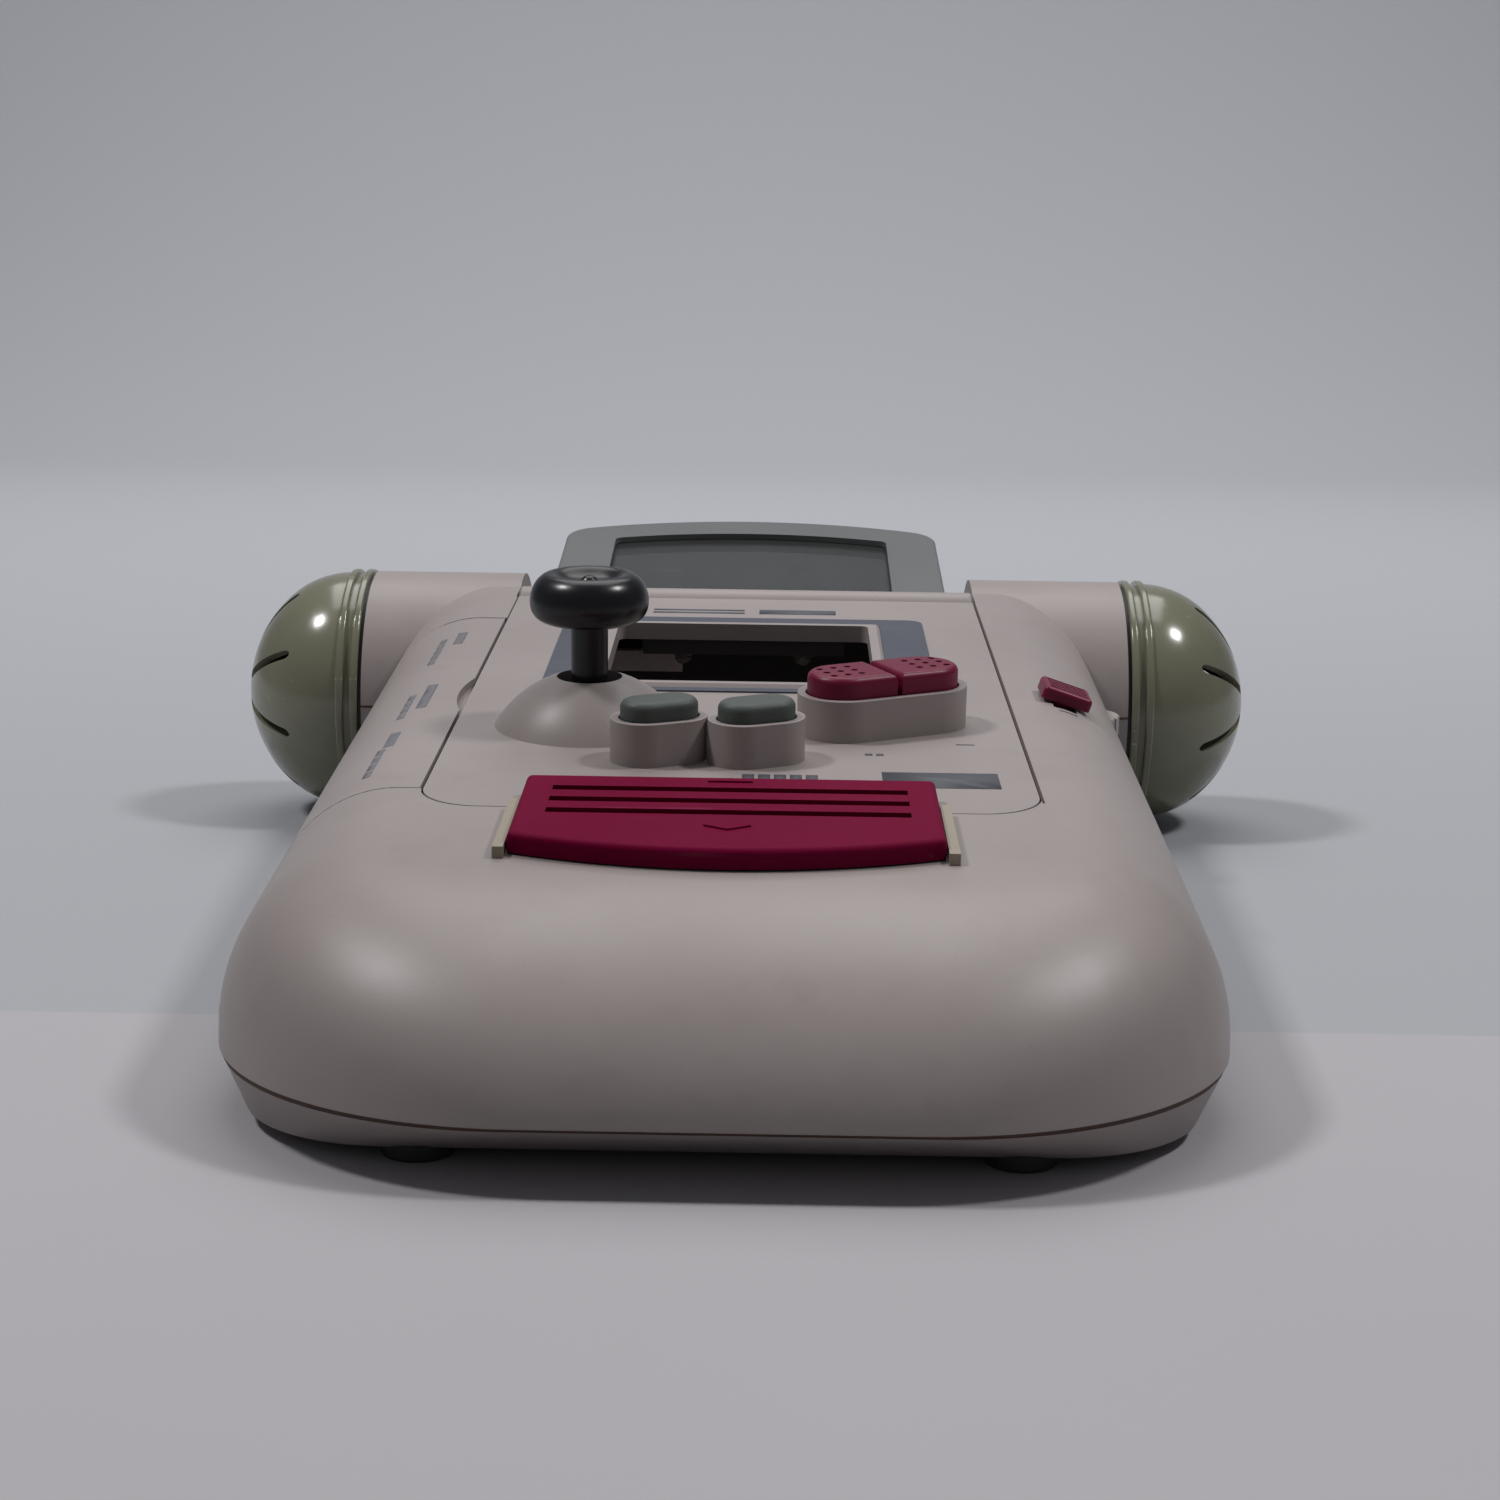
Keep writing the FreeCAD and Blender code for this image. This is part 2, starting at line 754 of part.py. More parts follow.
def dome_ball(inset):
    """The joystick dome's ball, found from its base radius and its height at the hole."""
    base = size("dome_radius")
    rise = size("dome_height")
    hole = size("dome_hole")
    centre = (hole ** 2 + rise ** 2 - base ** 2) / (2 * rise)
    radius = math.sqrt(base ** 2 + centre ** 2)
    return Part.makeSphere(radius - inset, Vector(size("stick_across"), -size("stick_along"), centre))


def leaf_top():
    """Height of the leaf springs' upper faces, just under the buttons' flanges."""
    return -size("lid_wall") - size("button_play") - size("flange_thick") - 0.1


def lid_panel():
    half = size("lid_half") - size("lid_gap")
    length = size("lid_length") - size("lid_gap")
    thick = size("lid_wall")
    plate = prism(rounded_wire([
        (half, size("barrel_radius"), 0), (-half, size("barrel_radius"), 0),
        (-half, -length, size("lid_corner")), (half, -length, size("lid_corner"))]), -thick, 0)
    barrel = rod(size("barrel_radius"), Vector(-half, BARREL_AT.y, BARREL_AT.z), 2 * half)
    barrel = softened(barrel, 0.6, lambda edge: abs(edge.BoundBox.XMin - edge.BoundBox.XMax) < 0.01)
    plate = plate.fuse(barrel)
    wide = size("window_half")
    rim = size("rim_width")
    frame = block(-wide - rim, wide + rim, -size("window_end") - rim, -size("window_start") + rim,
                  -0.1, size("rim_height"))
    top_edges = [edge for edge in frame.Edges if level(edge, size("rim_height"))]
    frame = frame.makeChamfer(size("rim_height") * 0.8, top_edges)
    plate = plate.fuse(frame)
    window = prism(rounded_wire([
        (wide, -size("window_start"), 1.5), (-wide, -size("window_start"), 1.5),
        (-wide, -size("window_end"), 1.5), (wide, -size("window_end"), 1.5)]), -5, 5)
    plate = plate.cut(window)
    above = block(-100, 100, -200, 10, -0.1, 40)
    below = block(-100, 100, -200, 10, -thick - 1, 40)
    dome = dome_ball(0).common(above)
    pods = [fire_pod(size("fire_radius"), -0.1, size("pod_height"))]
    for x in (size("menu_left"), size("menu_right")):
        pods.append(menu_pod(x, size("menu_radius"), -0.1, size("pod_height")))
    bosses = dome.fuse(pods[0]).fuse(pods[1].fuse(pods[2]).removeSplitter())
    lid = plate.fuse(bosses).removeSplitter()
    lid = lid.cut(dome_ball(size("dome_wall")).common(below))
    at = Vector(size("stick_across"), -size("stick_along"), -thick - 1)
    lid = lid.cut(rod(size("dome_hole"), at, 30, Vector(0, 0, 1)))
    inner = size("fire_radius") - size("pod_wall")
    lid = lid.cut(fire_pod(inner, -thick - 1, 20))
    for x in (size("menu_left"), size("menu_right")):
        lid = lid.cut(menu_pod(x, size("menu_radius") - size("pod_wall"), -thick - 1, 20))
    lugs = []
    for side in (-1, 1):
        reach = size("gimbal_outer") + 0.4
        lug = block(reach, reach + 4.5, -1.8, 1.8, size("pivot_rise") - 1.8, size("pivot_rise") + 5)
        lug = lug.cut(rod(size("gimbal_pin") + size("pin_play"), Vector(0, 0, size("pivot_rise")), 11))
        lug.rotate(Vector(0, 0, 0), Vector(0, 0, 1), 0 if side > 0 else 180)
        lug.translate(Vector(size("stick_across"), -size("stick_along"), 0))
        lugs.append(lug.common(dome_ball(0.5)))
    for lug in lugs:
        lid = lid.fuse(lug)
    lap = size("flange_lap") + size("button_play")
    foot = leaf_top()
    fire_in = size("fire_radius") - size("pod_wall") - size("button_play") + lap
    menu_in = size("menu_radius") - size("pod_wall") - size("button_play") + lap
    skirt = fire_pod(fire_in + 1, foot, -thick).cut(fire_pod(fire_in, foot - 1, -thick + 1))
    ring = menu_pod(size("menu_left"), menu_in + 1, foot, -thick)
    ring = ring.fuse(menu_pod(size("menu_right"), menu_in + 1, foot, -thick))
    for x in (size("menu_left"), size("menu_right")):
        ring = ring.cut(menu_pod(x, menu_in, foot - 1, -thick + 1))
    lid = lid.fuse(skirt).fuse(ring)
    start = Vector(-half - 1, BARREL_AT.y, BARREL_AT.z)
    lid = lid.cut(rod(size("pin_radius") + size("pin_play"), start, 2 * half + 2))
    return lid.removeSplitter()


feature("lid_panel", lid_panel(), lid_frame)


def screen_surround():
    wide = size("surround_half")
    rim = size("rim_width") + 0.05
    shape = prism(rounded_wire([
        (wide, -size("surround_start"), 3), (-wide, -size("surround_start"), 3),
        (-wide, -size("surround_end"), 3), (wide, -size("surround_end"), 3)]), 0, size("surround_thick"))
    hole = block(-size("window_half") - rim, size("window_half") + rim,
                 -size("window_end") - rim, -size("window_start") + rim, -1, 2)
    return shape.cut(hole)


feature("screen_surround", screen_surround(), lid_frame)


# Joystick, in a frame whose origin is the pivot
stick_frame = lid_frame.multiply(
    Placement(Vector(size("stick_across"), -size("stick_along"), size("pivot_rise")), Rotation()))


def joystick_gimbal():
    half = size("gimbal_height") / 2
    ring = rod(size("gimbal_outer"), Vector(0, 0, -half), 2 * half, Vector(0, 0, 1))
    ring = ring.cut(rod(size("gimbal_inner"), Vector(0, 0, -half - 1), 2 * half + 2, Vector(0, 0, 1)))
    bore = rod(size("gimbal_pin") + size("pin_play"), Vector(0, -20, 0), 40, Vector(0, 1, 0))
    ring = ring.cut(bore)
    for side in (-1, 1):
        start = size("gimbal_outer") - 1
        ring = ring.fuse(rod(size("gimbal_pin"), Vector(side * start, 0, 0), 3.9, Vector(side, 0, 0)))
    return ring.removeSplitter()


feature("joystick_gimbal", joystick_gimbal(), stick_frame)


def joystick_shaft():
    top = size("shaft_top") - size("pivot_rise")
    below = size("shaft_below")
    shaft = rod(size("shaft_radius"), Vector(0, 0, -below), top + below, Vector(0, 0, 1))
    pin_reach = size("gimbal_outer") - 0.3
    pins = rod(size("gimbal_pin"), Vector(0, -pin_reach, 0), 2 * pin_reach, Vector(0, 1, 0))
    return shaft.fuse(pins).removeSplitter()


feature("joystick_shaft", joystick_shaft(), stick_frame)
turned(
    "joystick_cap",
    [("0", "shaft_top"), ("shaft_radius + 1.2", "shaft_top"),
     ("stick_cap_radius - 1.6", "shaft_top + 0.4"), ("stick_cap_radius", "shaft_top + 3.4"),
     ("stick_cap_radius", "shaft_top + 5.2"), ("stick_cap_radius - 2.2", "shaft_top + 8.2"),
     ("stick_cap_radius - 5.2", "shaft_top + 8.6"), ("stick_cap_radius - 7", "shaft_top + 7.6"),
     ("1.4", "shaft_top + 7.4"), ("1.0", "shaft_top + 8.3"), ("0", "shaft_top + 8.4")],
    lid_frame.multiply(Placement(Vector(size("stick_across"), -size("stick_along"), 0), Rotation())),
)


def joystick_foot():
    """The cross under the stick whose four arms press the console's direction pad."""
    reach = size("foot_reach")
    thick = size("foot_thick")
    low = -size("shaft_below")
    cross = block(-reach, reach, -3, 3, low - thick, low).fuse(block(-3, 3, -reach, reach, low - thick, low))
    return cross.removeSplitter()


feature("joystick_foot", joystick_foot(), stick_frame)


# Buttons
def dimpled(shape, x, v, top, turn):
    """A three by three group of dimples in a button's top."""
    pitch = size("dimple_pitch")
    for i in (-1, 0, 1):
        for j in (-1, 0, 1):
            angle = math.radians(turn)
            dx = (i * math.cos(angle) - j * math.sin(angle)) * pitch
            dy = (i * math.sin(angle) + j * math.cos(angle)) * pitch
            at = Vector(x + dx, -v + dy, top - 0.45)
            shape = shape.cut(rod(size("dimple_radius"), at, 2, Vector(0, 0, 1)))
    return shape


def fire_button(side):
    """One of the two fire buttons, side -1 for B and 1 for A."""
    top = size("pod_height") + size("fire_rise")
    radius = size("fire_radius") - size("pod_wall") - size("button_play")
    low = -size("lid_wall") - size("button_play")
    cap = fire_pod(radius, low, top)
    flange = fire_pod(radius + size("flange_lap"), low - size("flange_thick"), low)
    half = size("fire_split") / 2
    keep_side = block(half, 60, -60, 60, -20, 40) if side > 0 else block(-60, -half, -60, 60, -20, 40)
    keep_side.Placement = Placement(
        Vector(size("fire_across"), -size("fire_along"), 0),
        Rotation(Vector(0, 0, 1), size("fire_tilt")))
    cap = cap.common(keep_side)
    flange = flange.common(keep_side)
    cap = softened(cap, 1.2, lambda edge: level(edge, top))
    angle = math.radians(size("fire_tilt"))
    shift = side * (size("fire_spread") / 2 + 0.4)
    x = size("fire_across") + shift * math.cos(angle)
    v = size("fire_along") - shift * math.sin(angle)
    cap = dimpled(cap, x, v, top, size("fire_tilt"))
    return cap.fuse(flange).removeSplitter()


feature("button_b", fire_button(-1), lid_frame)
feature("button_a", fire_button(1), lid_frame)


def menu_button(x):
    top = size("pod_height") + size("menu_rise")
    radius = size("menu_radius") - size("pod_wall") - size("button_play")
    low = -size("lid_wall") - size("button_play")
    cap = softened(menu_pod(x, radius, low, top), 1.3, lambda edge: level(edge, top))
    flange = menu_pod(x, radius + size("flange_lap"), low - size("flange_thick"), low)
    return cap.fuse(flange).removeSplitter()


feature("button_select", menu_button(size("menu_left")), lid_frame)
feature("button_start", menu_button(size("menu_right")), lid_frame)


def leaf_springs():
    """Thin plates under the lid that press the buttons back up."""
    high = leaf_top()
    low = high - size("leaf_thick")
    lap = size("flange_lap") + 1.0
    fire = size("fire_radius") - size("pod_wall") + lap
    menu = size("menu_radius") - size("pod_wall") + lap
    fire_leaf = fire_pod(fire, low, high).cut(fire_pod(2.2, low - 1, high + 1))
    pair = menu_pod(size("menu_left"), menu, low, high).fuse(menu_pod(size("menu_right"), menu, low, high))
    for x in (size("menu_left"), size("menu_right")):
        pair = pair.cut(menu_pod(x, 1.6, low - 1, high + 1))
    return fire_leaf, pair.removeSplitter()


for label, shape in zip(("leaf_spring_fire", "leaf_spring_menu"), leaf_springs()):
    feature(label, shape, lid_frame)


def lamp_holder():
    """Bar under the lid's far edge with a seat for each lamp."""
    along = size("lamp_along")
    low = -size("lid_wall") - 3.4
    bar = block(-20, 20, -along - 3, -along + 3, low, -size("lid_wall"))
    for side in (-1, 1):
        start = Vector(side * size("lamp_across"), -along, low - 1)
        bar = bar.cut(rod(size("lamp_radius") + 0.1, start, 3, Vector(0, 0, 1)))
    return bar


def lamps():
    """Two small round-nosed bulbs."""
    low = -size("lid_wall") - 3.4
    bulbs = []
    for side in (-1, 1):
        at = Vector(side * size("lamp_across"), -size("lamp_along"), low)
        bulb = rod(size("lamp_radius"), at - Vector(0, 0, 0.8), 2.7, Vector(0, 0, 1))
        bulbs.append(bulb.fuse(Part.makeSphere(size("lamp_radius"), at - Vector(0, 0, 0.8))).removeSplitter())
    return Part.makeCompound(bulbs)


feature("lamp_holder", lamp_holder(), lid_frame)
feature("lamps", lamps(), lid_frame)


# Latch
def latch_outline(inset, bow):
    half = size("latch_half") - inset
    start = -size("latch_start") - inset
    side = -size("latch_side_end") + inset
    return Part.Wire([
        Part.LineSegment(Vector(-half, start, 0), Vector(half, start, 0)).toShape(),
        Part.LineSegment(Vector(half, start, 0), Vector(half, side, 0)).toShape(),
        Part.Arc(Vector(half, side, 0), Vector(0, side - bow, 0), Vector(-half, side, 0)).toShape(),
        Part.LineSegment(Vector(-half, side, 0), Vector(-half, start, 0)).toShape(),
    ])


def latch_bar():
    low = size("latch_lift")
    high = low + size("latch_thick")
    bar = prism(latch_outline(0, size("latch_bow")), low, high)
    bar = softened(bar, 1.0, lambda edge: level(edge, high) or (
        edge.BoundBox.ZLength > 1 and edge.BoundBox.XLength < 0.01))
    for i in range(3):
        along = size("latch_start") + 7.5 + i * size("groove_pitch")
        groove = block(-size("groove_half"), size("groove_half"), -along - size("groove_width") / 2,
                       -along + size("groove_width") / 2, high - size("groove_depth"), high + 1)
        bar = bar.cut(groove)
    middle = latch_middle()
    stem = block(-size("stem_half"), size("stem_half"), -middle - size("stem_deep"),
                 -middle + size("stem_deep"), -size("stem_drop"), low)
    return bar.fuse(stem).removeSplitter()


feature("latch_bar", latch_bar(), lid_frame)


def latch_spring():
    """Compression coil between the latch's stem and its seat in the upper shell."""
    radius = size("coil_radius")
    wire = size("coil_wire")
    length = 14.0 - 2 * wire - 0.4
    helix = Part.makeHelix(length / 5, length, radius)
    ring = Part.Wire(Part.makeCircle(wire, Vector(radius, 0, 0), Vector(0, 1, 0)))
    coil = Part.Wire(helix).makePipeShell([ring], True, True)
    start = -latch_middle() - size("stem_deep") - wire - 0.2
    coil.Placement = lid_frame.multiply(
        Placement(Vector(0, start, -6), Rotation(Vector(1, 0, 0), 90)))
    return coil


feature("latch_spring", latch_spring())


# Magnifier, in a frame on its hinge axis: y runs along the plate to its far edge
def mag_slab(inset, start, corner, low, high):
    """A plate with a gently arched far edge and rounded corners."""
    half = size("mag_half") - inset
    reach = size("mag_reach") - inset
    bow = size("mag_bow") * (half / size("mag_half")) ** 2
    slab = block(-half, half, start, reach + 1, low, high)
    radius = (half ** 2 + bow ** 2) / (2 * bow)
    arch = rod(radius, Vector(0, reach - radius, low - 1), high - low + 2, Vector(0, 0, 1))
    slab = slab.common(arch)
    if corner > 0:
        slab = softened(slab, corner, lambda edge: edge.BoundBox.ZLength > high - low - 0.01
                        and edge.BoundBox.XLength < 0.01 and edge.BoundBox.YMin > reach - bow - 4)
    return slab


def magnifier_frame():
    high = -size("mag_offset")
    low = high - size("mag_thick")
    plate = mag_slab(0, size("mag_root"), size("mag_corner"), low, high)
    plate = softened(plate, 0.9, lambda edge: level(edge, high))
    border = size("mag_border")
    opening = mag_slab(border, size("mag_lens_start"), 2, low - 1, high + 1)
    plate = plate.cut(opening)
    seat = mag_slab(border - 1.2, size("mag_lens_start") - 1.2, 3, low + 1.0, low + 3.2)
    plate = plate.cut(seat)
    ear = size("mag_ear")
    width = size("mag_arm_width")
    arm_top = -(size("barrel_radius") + 0.9)
    root = size("mag_root") + 6
    corners = [Vector(0, y, z) for y, z in (
        (ear, 0), (ear, arm_top), (root, high), (root, low), (0, low), (-ear, low + 4), (-ear, 0))]
    edges = [Part.LineSegment(one, two).toShape() for one, two in zip(corners, corners[1:])]
    edges.append(Part.Arc(corners[-1], Vector(0, 0, ear), corners[0]).toShape())
    arm = Part.Face(Part.Wire(edges)).extrude(Vector(width, 0, 0))
    for side in (-1, 1):
        at = size("mag_half") - width if side > 0 else -size("mag_half")
        plate = plate.fuse(arm.translated(Vector(at, 0, 0)))
    for side in (-1, 1):
        start = Vector(side * (size("trough_half") - 6.1), 0, 0)
        plate = plate.cut(rod(size("mag_pin_radius") + size("pin_play"), start, 9, Vector(side, 0, 0)))
    return plate.removeSplitter()


feature("magnifier_frame", magnifier_frame(), mag_frame)


def magnifier_lens():
    low = -size("mag_offset") - size("mag_thick") + 1.1
    return mag_slab(size("mag_border") - 1.1, size("mag_lens_start") - 1.1, 3, low, low + 2.0)


feature("magnifier_lens", magnifier_lens(), mag_frame)
feature("lid_hinge_pin", lid_pin(0))
for side, name in ((-1, "left"), (1, "right")):
    feature(f"magnifier_pin_{name}", mag_pin(side, 0))


# Speakers, each turned about the tube's axis
def tube_end(side):
    """Placement that lays a turned body's Z axis outwards along the tube."""
    return Placement(Vector(0, TUBE_Y, size("tube_axis_z")), Rotation(Vector(0, 1, 0), 90 * side))


def bowl(radius, depth, wall):
    """A deep dished shell, open below: a flatter arc at the pole runs into a tighter one at the brim."""
    tight = 0.775 * radius
    across = radius - tight
    spare = depth - tight
    sink = (across ** 2 - spare ** 2) / (2 * spare)
    lean = math.atan2(across, sink)
    edges = []
    for shrink in (0, wall):
        flat = depth + sink - shrink
        round_in = tight - shrink
        half = lean + (math.pi / 2 - lean) / 2
        meet = Vector(flat * math.sin(lean), 0, flat * math.cos(lean) - sink)
        on_top = Vector(flat * math.sin(lean / 2), 0, flat * math.cos(lean / 2) - sink)
        on_side = Vector(across + round_in * math.sin(half), 0, round_in * math.cos(half))
        edges.append(Part.Arc(Vector(0, 0, depth - shrink), on_top, meet).toShape())
        edges.append(Part.Arc(meet, on_side, Vector(radius - shrink, 0, 0)).toShape())
    edges.append(Part.LineSegment(Vector(0, 0, depth), Vector(0, 0, depth - wall)).toShape())
    edges.append(Part.LineSegment(Vector(radius, 0, 0), Vector(radius - wall, 0, 0)).toShape())
    profile = Part.Wire(Part.__sortEdges__(edges))
    return Part.Face(profile).revolve(Vector(0, 0, 0), Vector(0, 0, 1), 360)


def speaker_cap(side):
    """Two raised rings and a slotted dish, as a shell."""
    start = size("tube_half") + size("cap_gap")
    ring = size("cap_ring_width")
    groove = size("cap_groove")
    base = start + 2 * ring + groove
    big = size("cap_ring_radius")
    small = big - 1.0
    wall = size("cap_wall")
    shell = bowl(size("cap_dome_radius"), size("cap_dome_length"), wall)
    shell.translate(Vector(0, 0, base))
    body = rod(small, Vector(0, 0, start), base - start, Vector(0, 0, 1))
    up = Vector(0, 0, 1)
    for at in (start, start + ring + groove):
        band = rod(big, Vector(0, 0, at), ring, up)
        band = softened(band, 0.5, lambda edge: edge.BoundBox.ZLength < 0.01)
        body = body.fuse(band)
    body = body.cut(rod(size("cap_dome_radius") - wall, Vector(0, 0, start - 1), base - start + 2, up))
    cap = shell.fuse(body)
    for i in range(int(size("slot_count"))):
        slot = prism(capsule_wire((size("slot_inner") + size("slot_outer")) / 2, 0,
                                  (size("slot_outer") - size("slot_inner")) / 2 - size("slot_width") / 2,
                                  size("slot_width") / 2, 0), base + 2, base + 40)
        slot.rotate(Vector(0, 0, 0), up, i * 360 / size("slot_count") - side * size("slot_phase"))
        cap = cap.cut(slot)
    return cap.removeSplitter()


for side, name in ((-1, "left"), (1, "right")):
    place = tube_end(side)
    feature(f"speaker_cap_{name}", speaker_cap(side), place)
    turned(f"cap_ring_{name}", [
        ("tube_radius - wall - 2", "tube_half - 4"), ("tube_radius - wall", "tube_half - 4"),
        ("tube_radius - wall", "tube_half"), ("tube_radius - 1.0", "tube_half"),
        ("tube_radius - 1.0", "tube_half + cap_gap"), ("tube_radius - wall - 2", "tube_half + cap_gap"),
    ], place)
    front = "tube_half + cap_gap"
    turned(f"speaker_basket_{name}", [
        ("driver_radius - 3", f"{front} + 1.6"), ("driver_radius", f"{front} + 1.6"),
        ("driver_radius", f"{front}"), ("driver_radius - 2", f"{front}"),
        ("magnet_radius - 2", f"{front} - driver_depth"), ("4", f"{front} - driver_depth"),
        ("4", f"{front} - driver_depth + 1"), ("magnet_radius - 3", f"{front} - driver_depth + 1"),
    ], place)
    turned(f"speaker_cone_{name}", [
        ("0", f"{front} - 5"), ("5", f"{front} - 6"), ("driver_radius - 3.4", f"{front} + 1.2"),
        ("driver_radius - 3.4", f"{front} + 1.6"), ("5", f"{front} - 5.4"), ("0", f"{front} - 3.6"),
    ], place)
    back = f"{front} - driver_depth - magnet_depth"
    turned(f"speaker_magnet_{name}", [
        ("0", back), ("magnet_radius", back),
        ("magnet_radius", f"{front} - driver_depth"), ("0", f"{front} - driver_depth"),
    ], place, rounds=[("magnet_radius", back, "0.8")])

# Slide switch on the right shoulder
def switch_knob():
    long, wide = size("knob_length") / 2, size("knob_width") / 2
    top = block(-wide, wide, -long, long, 0.3, size("knob_proud"))
    top = softened(top, 0.8, lambda edge: edge.BoundBox.ZMax > 1)
    for i in range(-2, 3):
        groove = block(-wide + 1, wide - 1, i * 1.5 - 0.3, i * 1.5 + 0.3, size("knob_proud") - 0.4, 9)
        top = top.cut(groove)
    stem = block(-wide / 2 + 0.4, wide / 2 - 0.4, -long / 2 + 0.4, long / 2 - 0.4, -6.4, 0.3)
    return top.fuse(stem).removeSplitter()


def switch_body():
    half = size("knob_width") / 2
    long = size("knob_length") / 2 + size("knob_travel") + 2
    body = block(-half, half, -long, size("knob_length") / 2 + 2, -9.0, -3.6)
    hollow = block(-half / 2 - 0.3, half / 2 + 0.3, -long + 1.2, size("knob_length") / 2 + 1, -7.0, -3)
    return body.cut(hollow)


feature("switch_knob", switch_knob(), knob_frame())
feature("switch_body", switch_body(), knob_frame())


# Volume thumbwheel, its control and the amplifier board
half_wheel = size("wheel_thick") / 2


def volume_wheel():
    """A disc with a ribbed rim."""
    radius = size("wheel_radius")
    wheel = rod(radius, Vector(0, 0, -half_wheel), 2 * half_wheel, Vector(0, 0, 1))
    wheel = softened(wheel, 0.4, lambda edge: edge.BoundBox.ZLength < 0.01)
    for i in range(24):
        rib = rod(0.45, Vector(radius, 0, -half_wheel - 1), 2 * half_wheel + 2, Vector(0, 0, 1))
        rib.rotate(Vector(0, 0, 0), Vector(0, 0, 1), i * 15)
        wheel = wheel.cut(rib)
    return wheel.cut(rod(2.05, Vector(0, 0, -5), 10, Vector(0, 0, 1)))


feature("volume_wheel", volume_wheel(), wheel_place())
turned("volume_pot", [
    ("0", "board_level + board_thick"), ("pot_radius", "board_level + board_thick"),
    ("pot_radius", "wheel_level - wheel_thick / 2 - 0.4"), ("2", "wheel_level - wheel_thick / 2 - 0.4"),
    ("2", "wheel_level + wheel_thick / 2 + 0.6"), ("0", "wheel_level + wheel_thick / 2 + 0.6"),
], Placement(Vector(wheel_place().Base.x, wheel_place().Base.y, 0), Rotation()))


def amplifier_board():
    """The board, with a hole over each post, cut to the room inside the side wall."""
    low = size("board_level")
    half = 9.5
    board = block(board_middle() - half, board_middle() + half, TUBE_Y - size("board_near"),
                  TUBE_Y - size("board_far"), low, low + size("board_thick"))
    return board


def board_parts():
    low = size("board_level") + size("board_thick")
    x = board_middle()
    y = TUBE_Y - size("board_near")
    pieces = [block(x - 4, x + 4, y + 30, y + 42, low, low + 3)]
    for dx, dy in ((-4.5, 22), (4.5, 22)):
        pieces.append(rod(2.6, Vector(x + dx, y + dy, low), 6, Vector(0, 0, 1)))
    for dx in (-6, -3, 0, 3):
        pieces.append(block(x + dx, x + dx + 1.6, y + 11, y + 17, low, low + 1.6))
    return Part.makeCompound(pieces)


feature("amplifier_board", amplifier_board())
feature("board_parts", board_parts())


# Batteries, side by side in two rows of two
def battery_tray():
    low, high = tray_box()
    wall = size("tray_wall")
    tray = block(low.x - wall, high.x + wall, low.y - wall, high.y + wall, low.z, high.z + wall)
    tray = tray.cut(block(low.x, high.x, low.y, high.y, low.z - 1, high.z))
    return tray


feature("battery_tray", battery_tray())
tray_low, tray_high = tray_box()


def cell_line(line):
    """Height and depth of the axis that a row of cells shares."""
    radius = size("cell_radius")
    return tray_high.y - 0.3 - radius - line * (2 * radius + 0.2), tray_low.z + 0.2 + radius


for number in range(4):
    column = 1 if number % 2 else -1
    start = Vector(column, *cell_line(number // 2))
    turned(f"battery_cell_{number + 1}", [
        ("0", "0"), ("cell_radius", "0"), ("cell_radius", "cell_length - 1.2"), ("2.7", "cell_length - 1.2"),
        ("2.7", "cell_length"), ("0", "cell_length"),
    ], Placement(start, Rotation(Vector(0, 1, 0), 90 * column)),
        rounds=[("cell_radius", "0", "0.5"), ("cell_radius", "cell_length - 1.2", "0.8")])


def battery_contacts():
    """A sprung plate at each outer end of the rows, and one across the middle of each."""
    thick = size("contact_thick")
    plates = []
    for line in range(2):
        y, z = cell_line(line)
        for x in (-tray_high.x, tray_high.x - thick):
            plates.append(block(x, x + thick, y - 5, y + 5, z - 5, z + 6))
        plates.append(block(-thick / 2, thick / 2, y - 5, y + 5, z - 5, tray_high.z))
    return Part.makeCompound(plates)


feature("battery_contacts", battery_contacts())


def battery_door():
    """The flat cover of the cells, with grip ridges."""
    floor = size("parting_z") - size("under_depth")
    door = prism(door_wire(size("door_gap")), floor, floor + size("door_thick"))
    for i in range(4):
        door = door.cut(block(-9, 9, tray_low.y + 4 + i * 2, tray_low.y + 5 + i * 2, floor - 1, floor + 0.5))
    return door


feature("battery_door", battery_door())


# Feet and screws
def rubber_feet():
    feet = []
    for at in foot_spots():
        foot = rod(size("foot_radius"), at, size("foot_height"), Vector(0, 0, 1))
        feet.append(softened(foot, 0.6, lambda edge: level(edge, 0)))
    return Part.makeCompound(feet)


def case_screws():
    """Pan-head screws that go up from the lower shell into the upper shell's posts."""
    seat = size("parting_z") - size("under_depth") + 3.0
    screws = []
    for at in SCREWS:
        head = rod(size("screw_head"), at + Vector(0, 0, seat - 1.6), 1.6, Vector(0, 0, 1))
        head = softened(head, 0.5, lambda edge: level(edge, seat - 1.6))
        shank = rod(size("screw_radius"), at + Vector(0, 0, seat), size("screw_grip"), Vector(0, 0, 1))
        head = head.cut(block(at.x - 1.6, at.x + 1.6, at.y - 0.3, at.y + 0.3, seat - 2, seat - 1))
        head = head.cut(block(at.x - 0.3, at.x + 0.3, at.y - 1.6, at.y + 1.6, seat - 2, seat - 1))
        screws.append(head.fuse(shank).removeSplitter())
    return Part.makeCompound(screws)


feature("rubber_feet", rubber_feet())
feature("case_screws", case_screws())

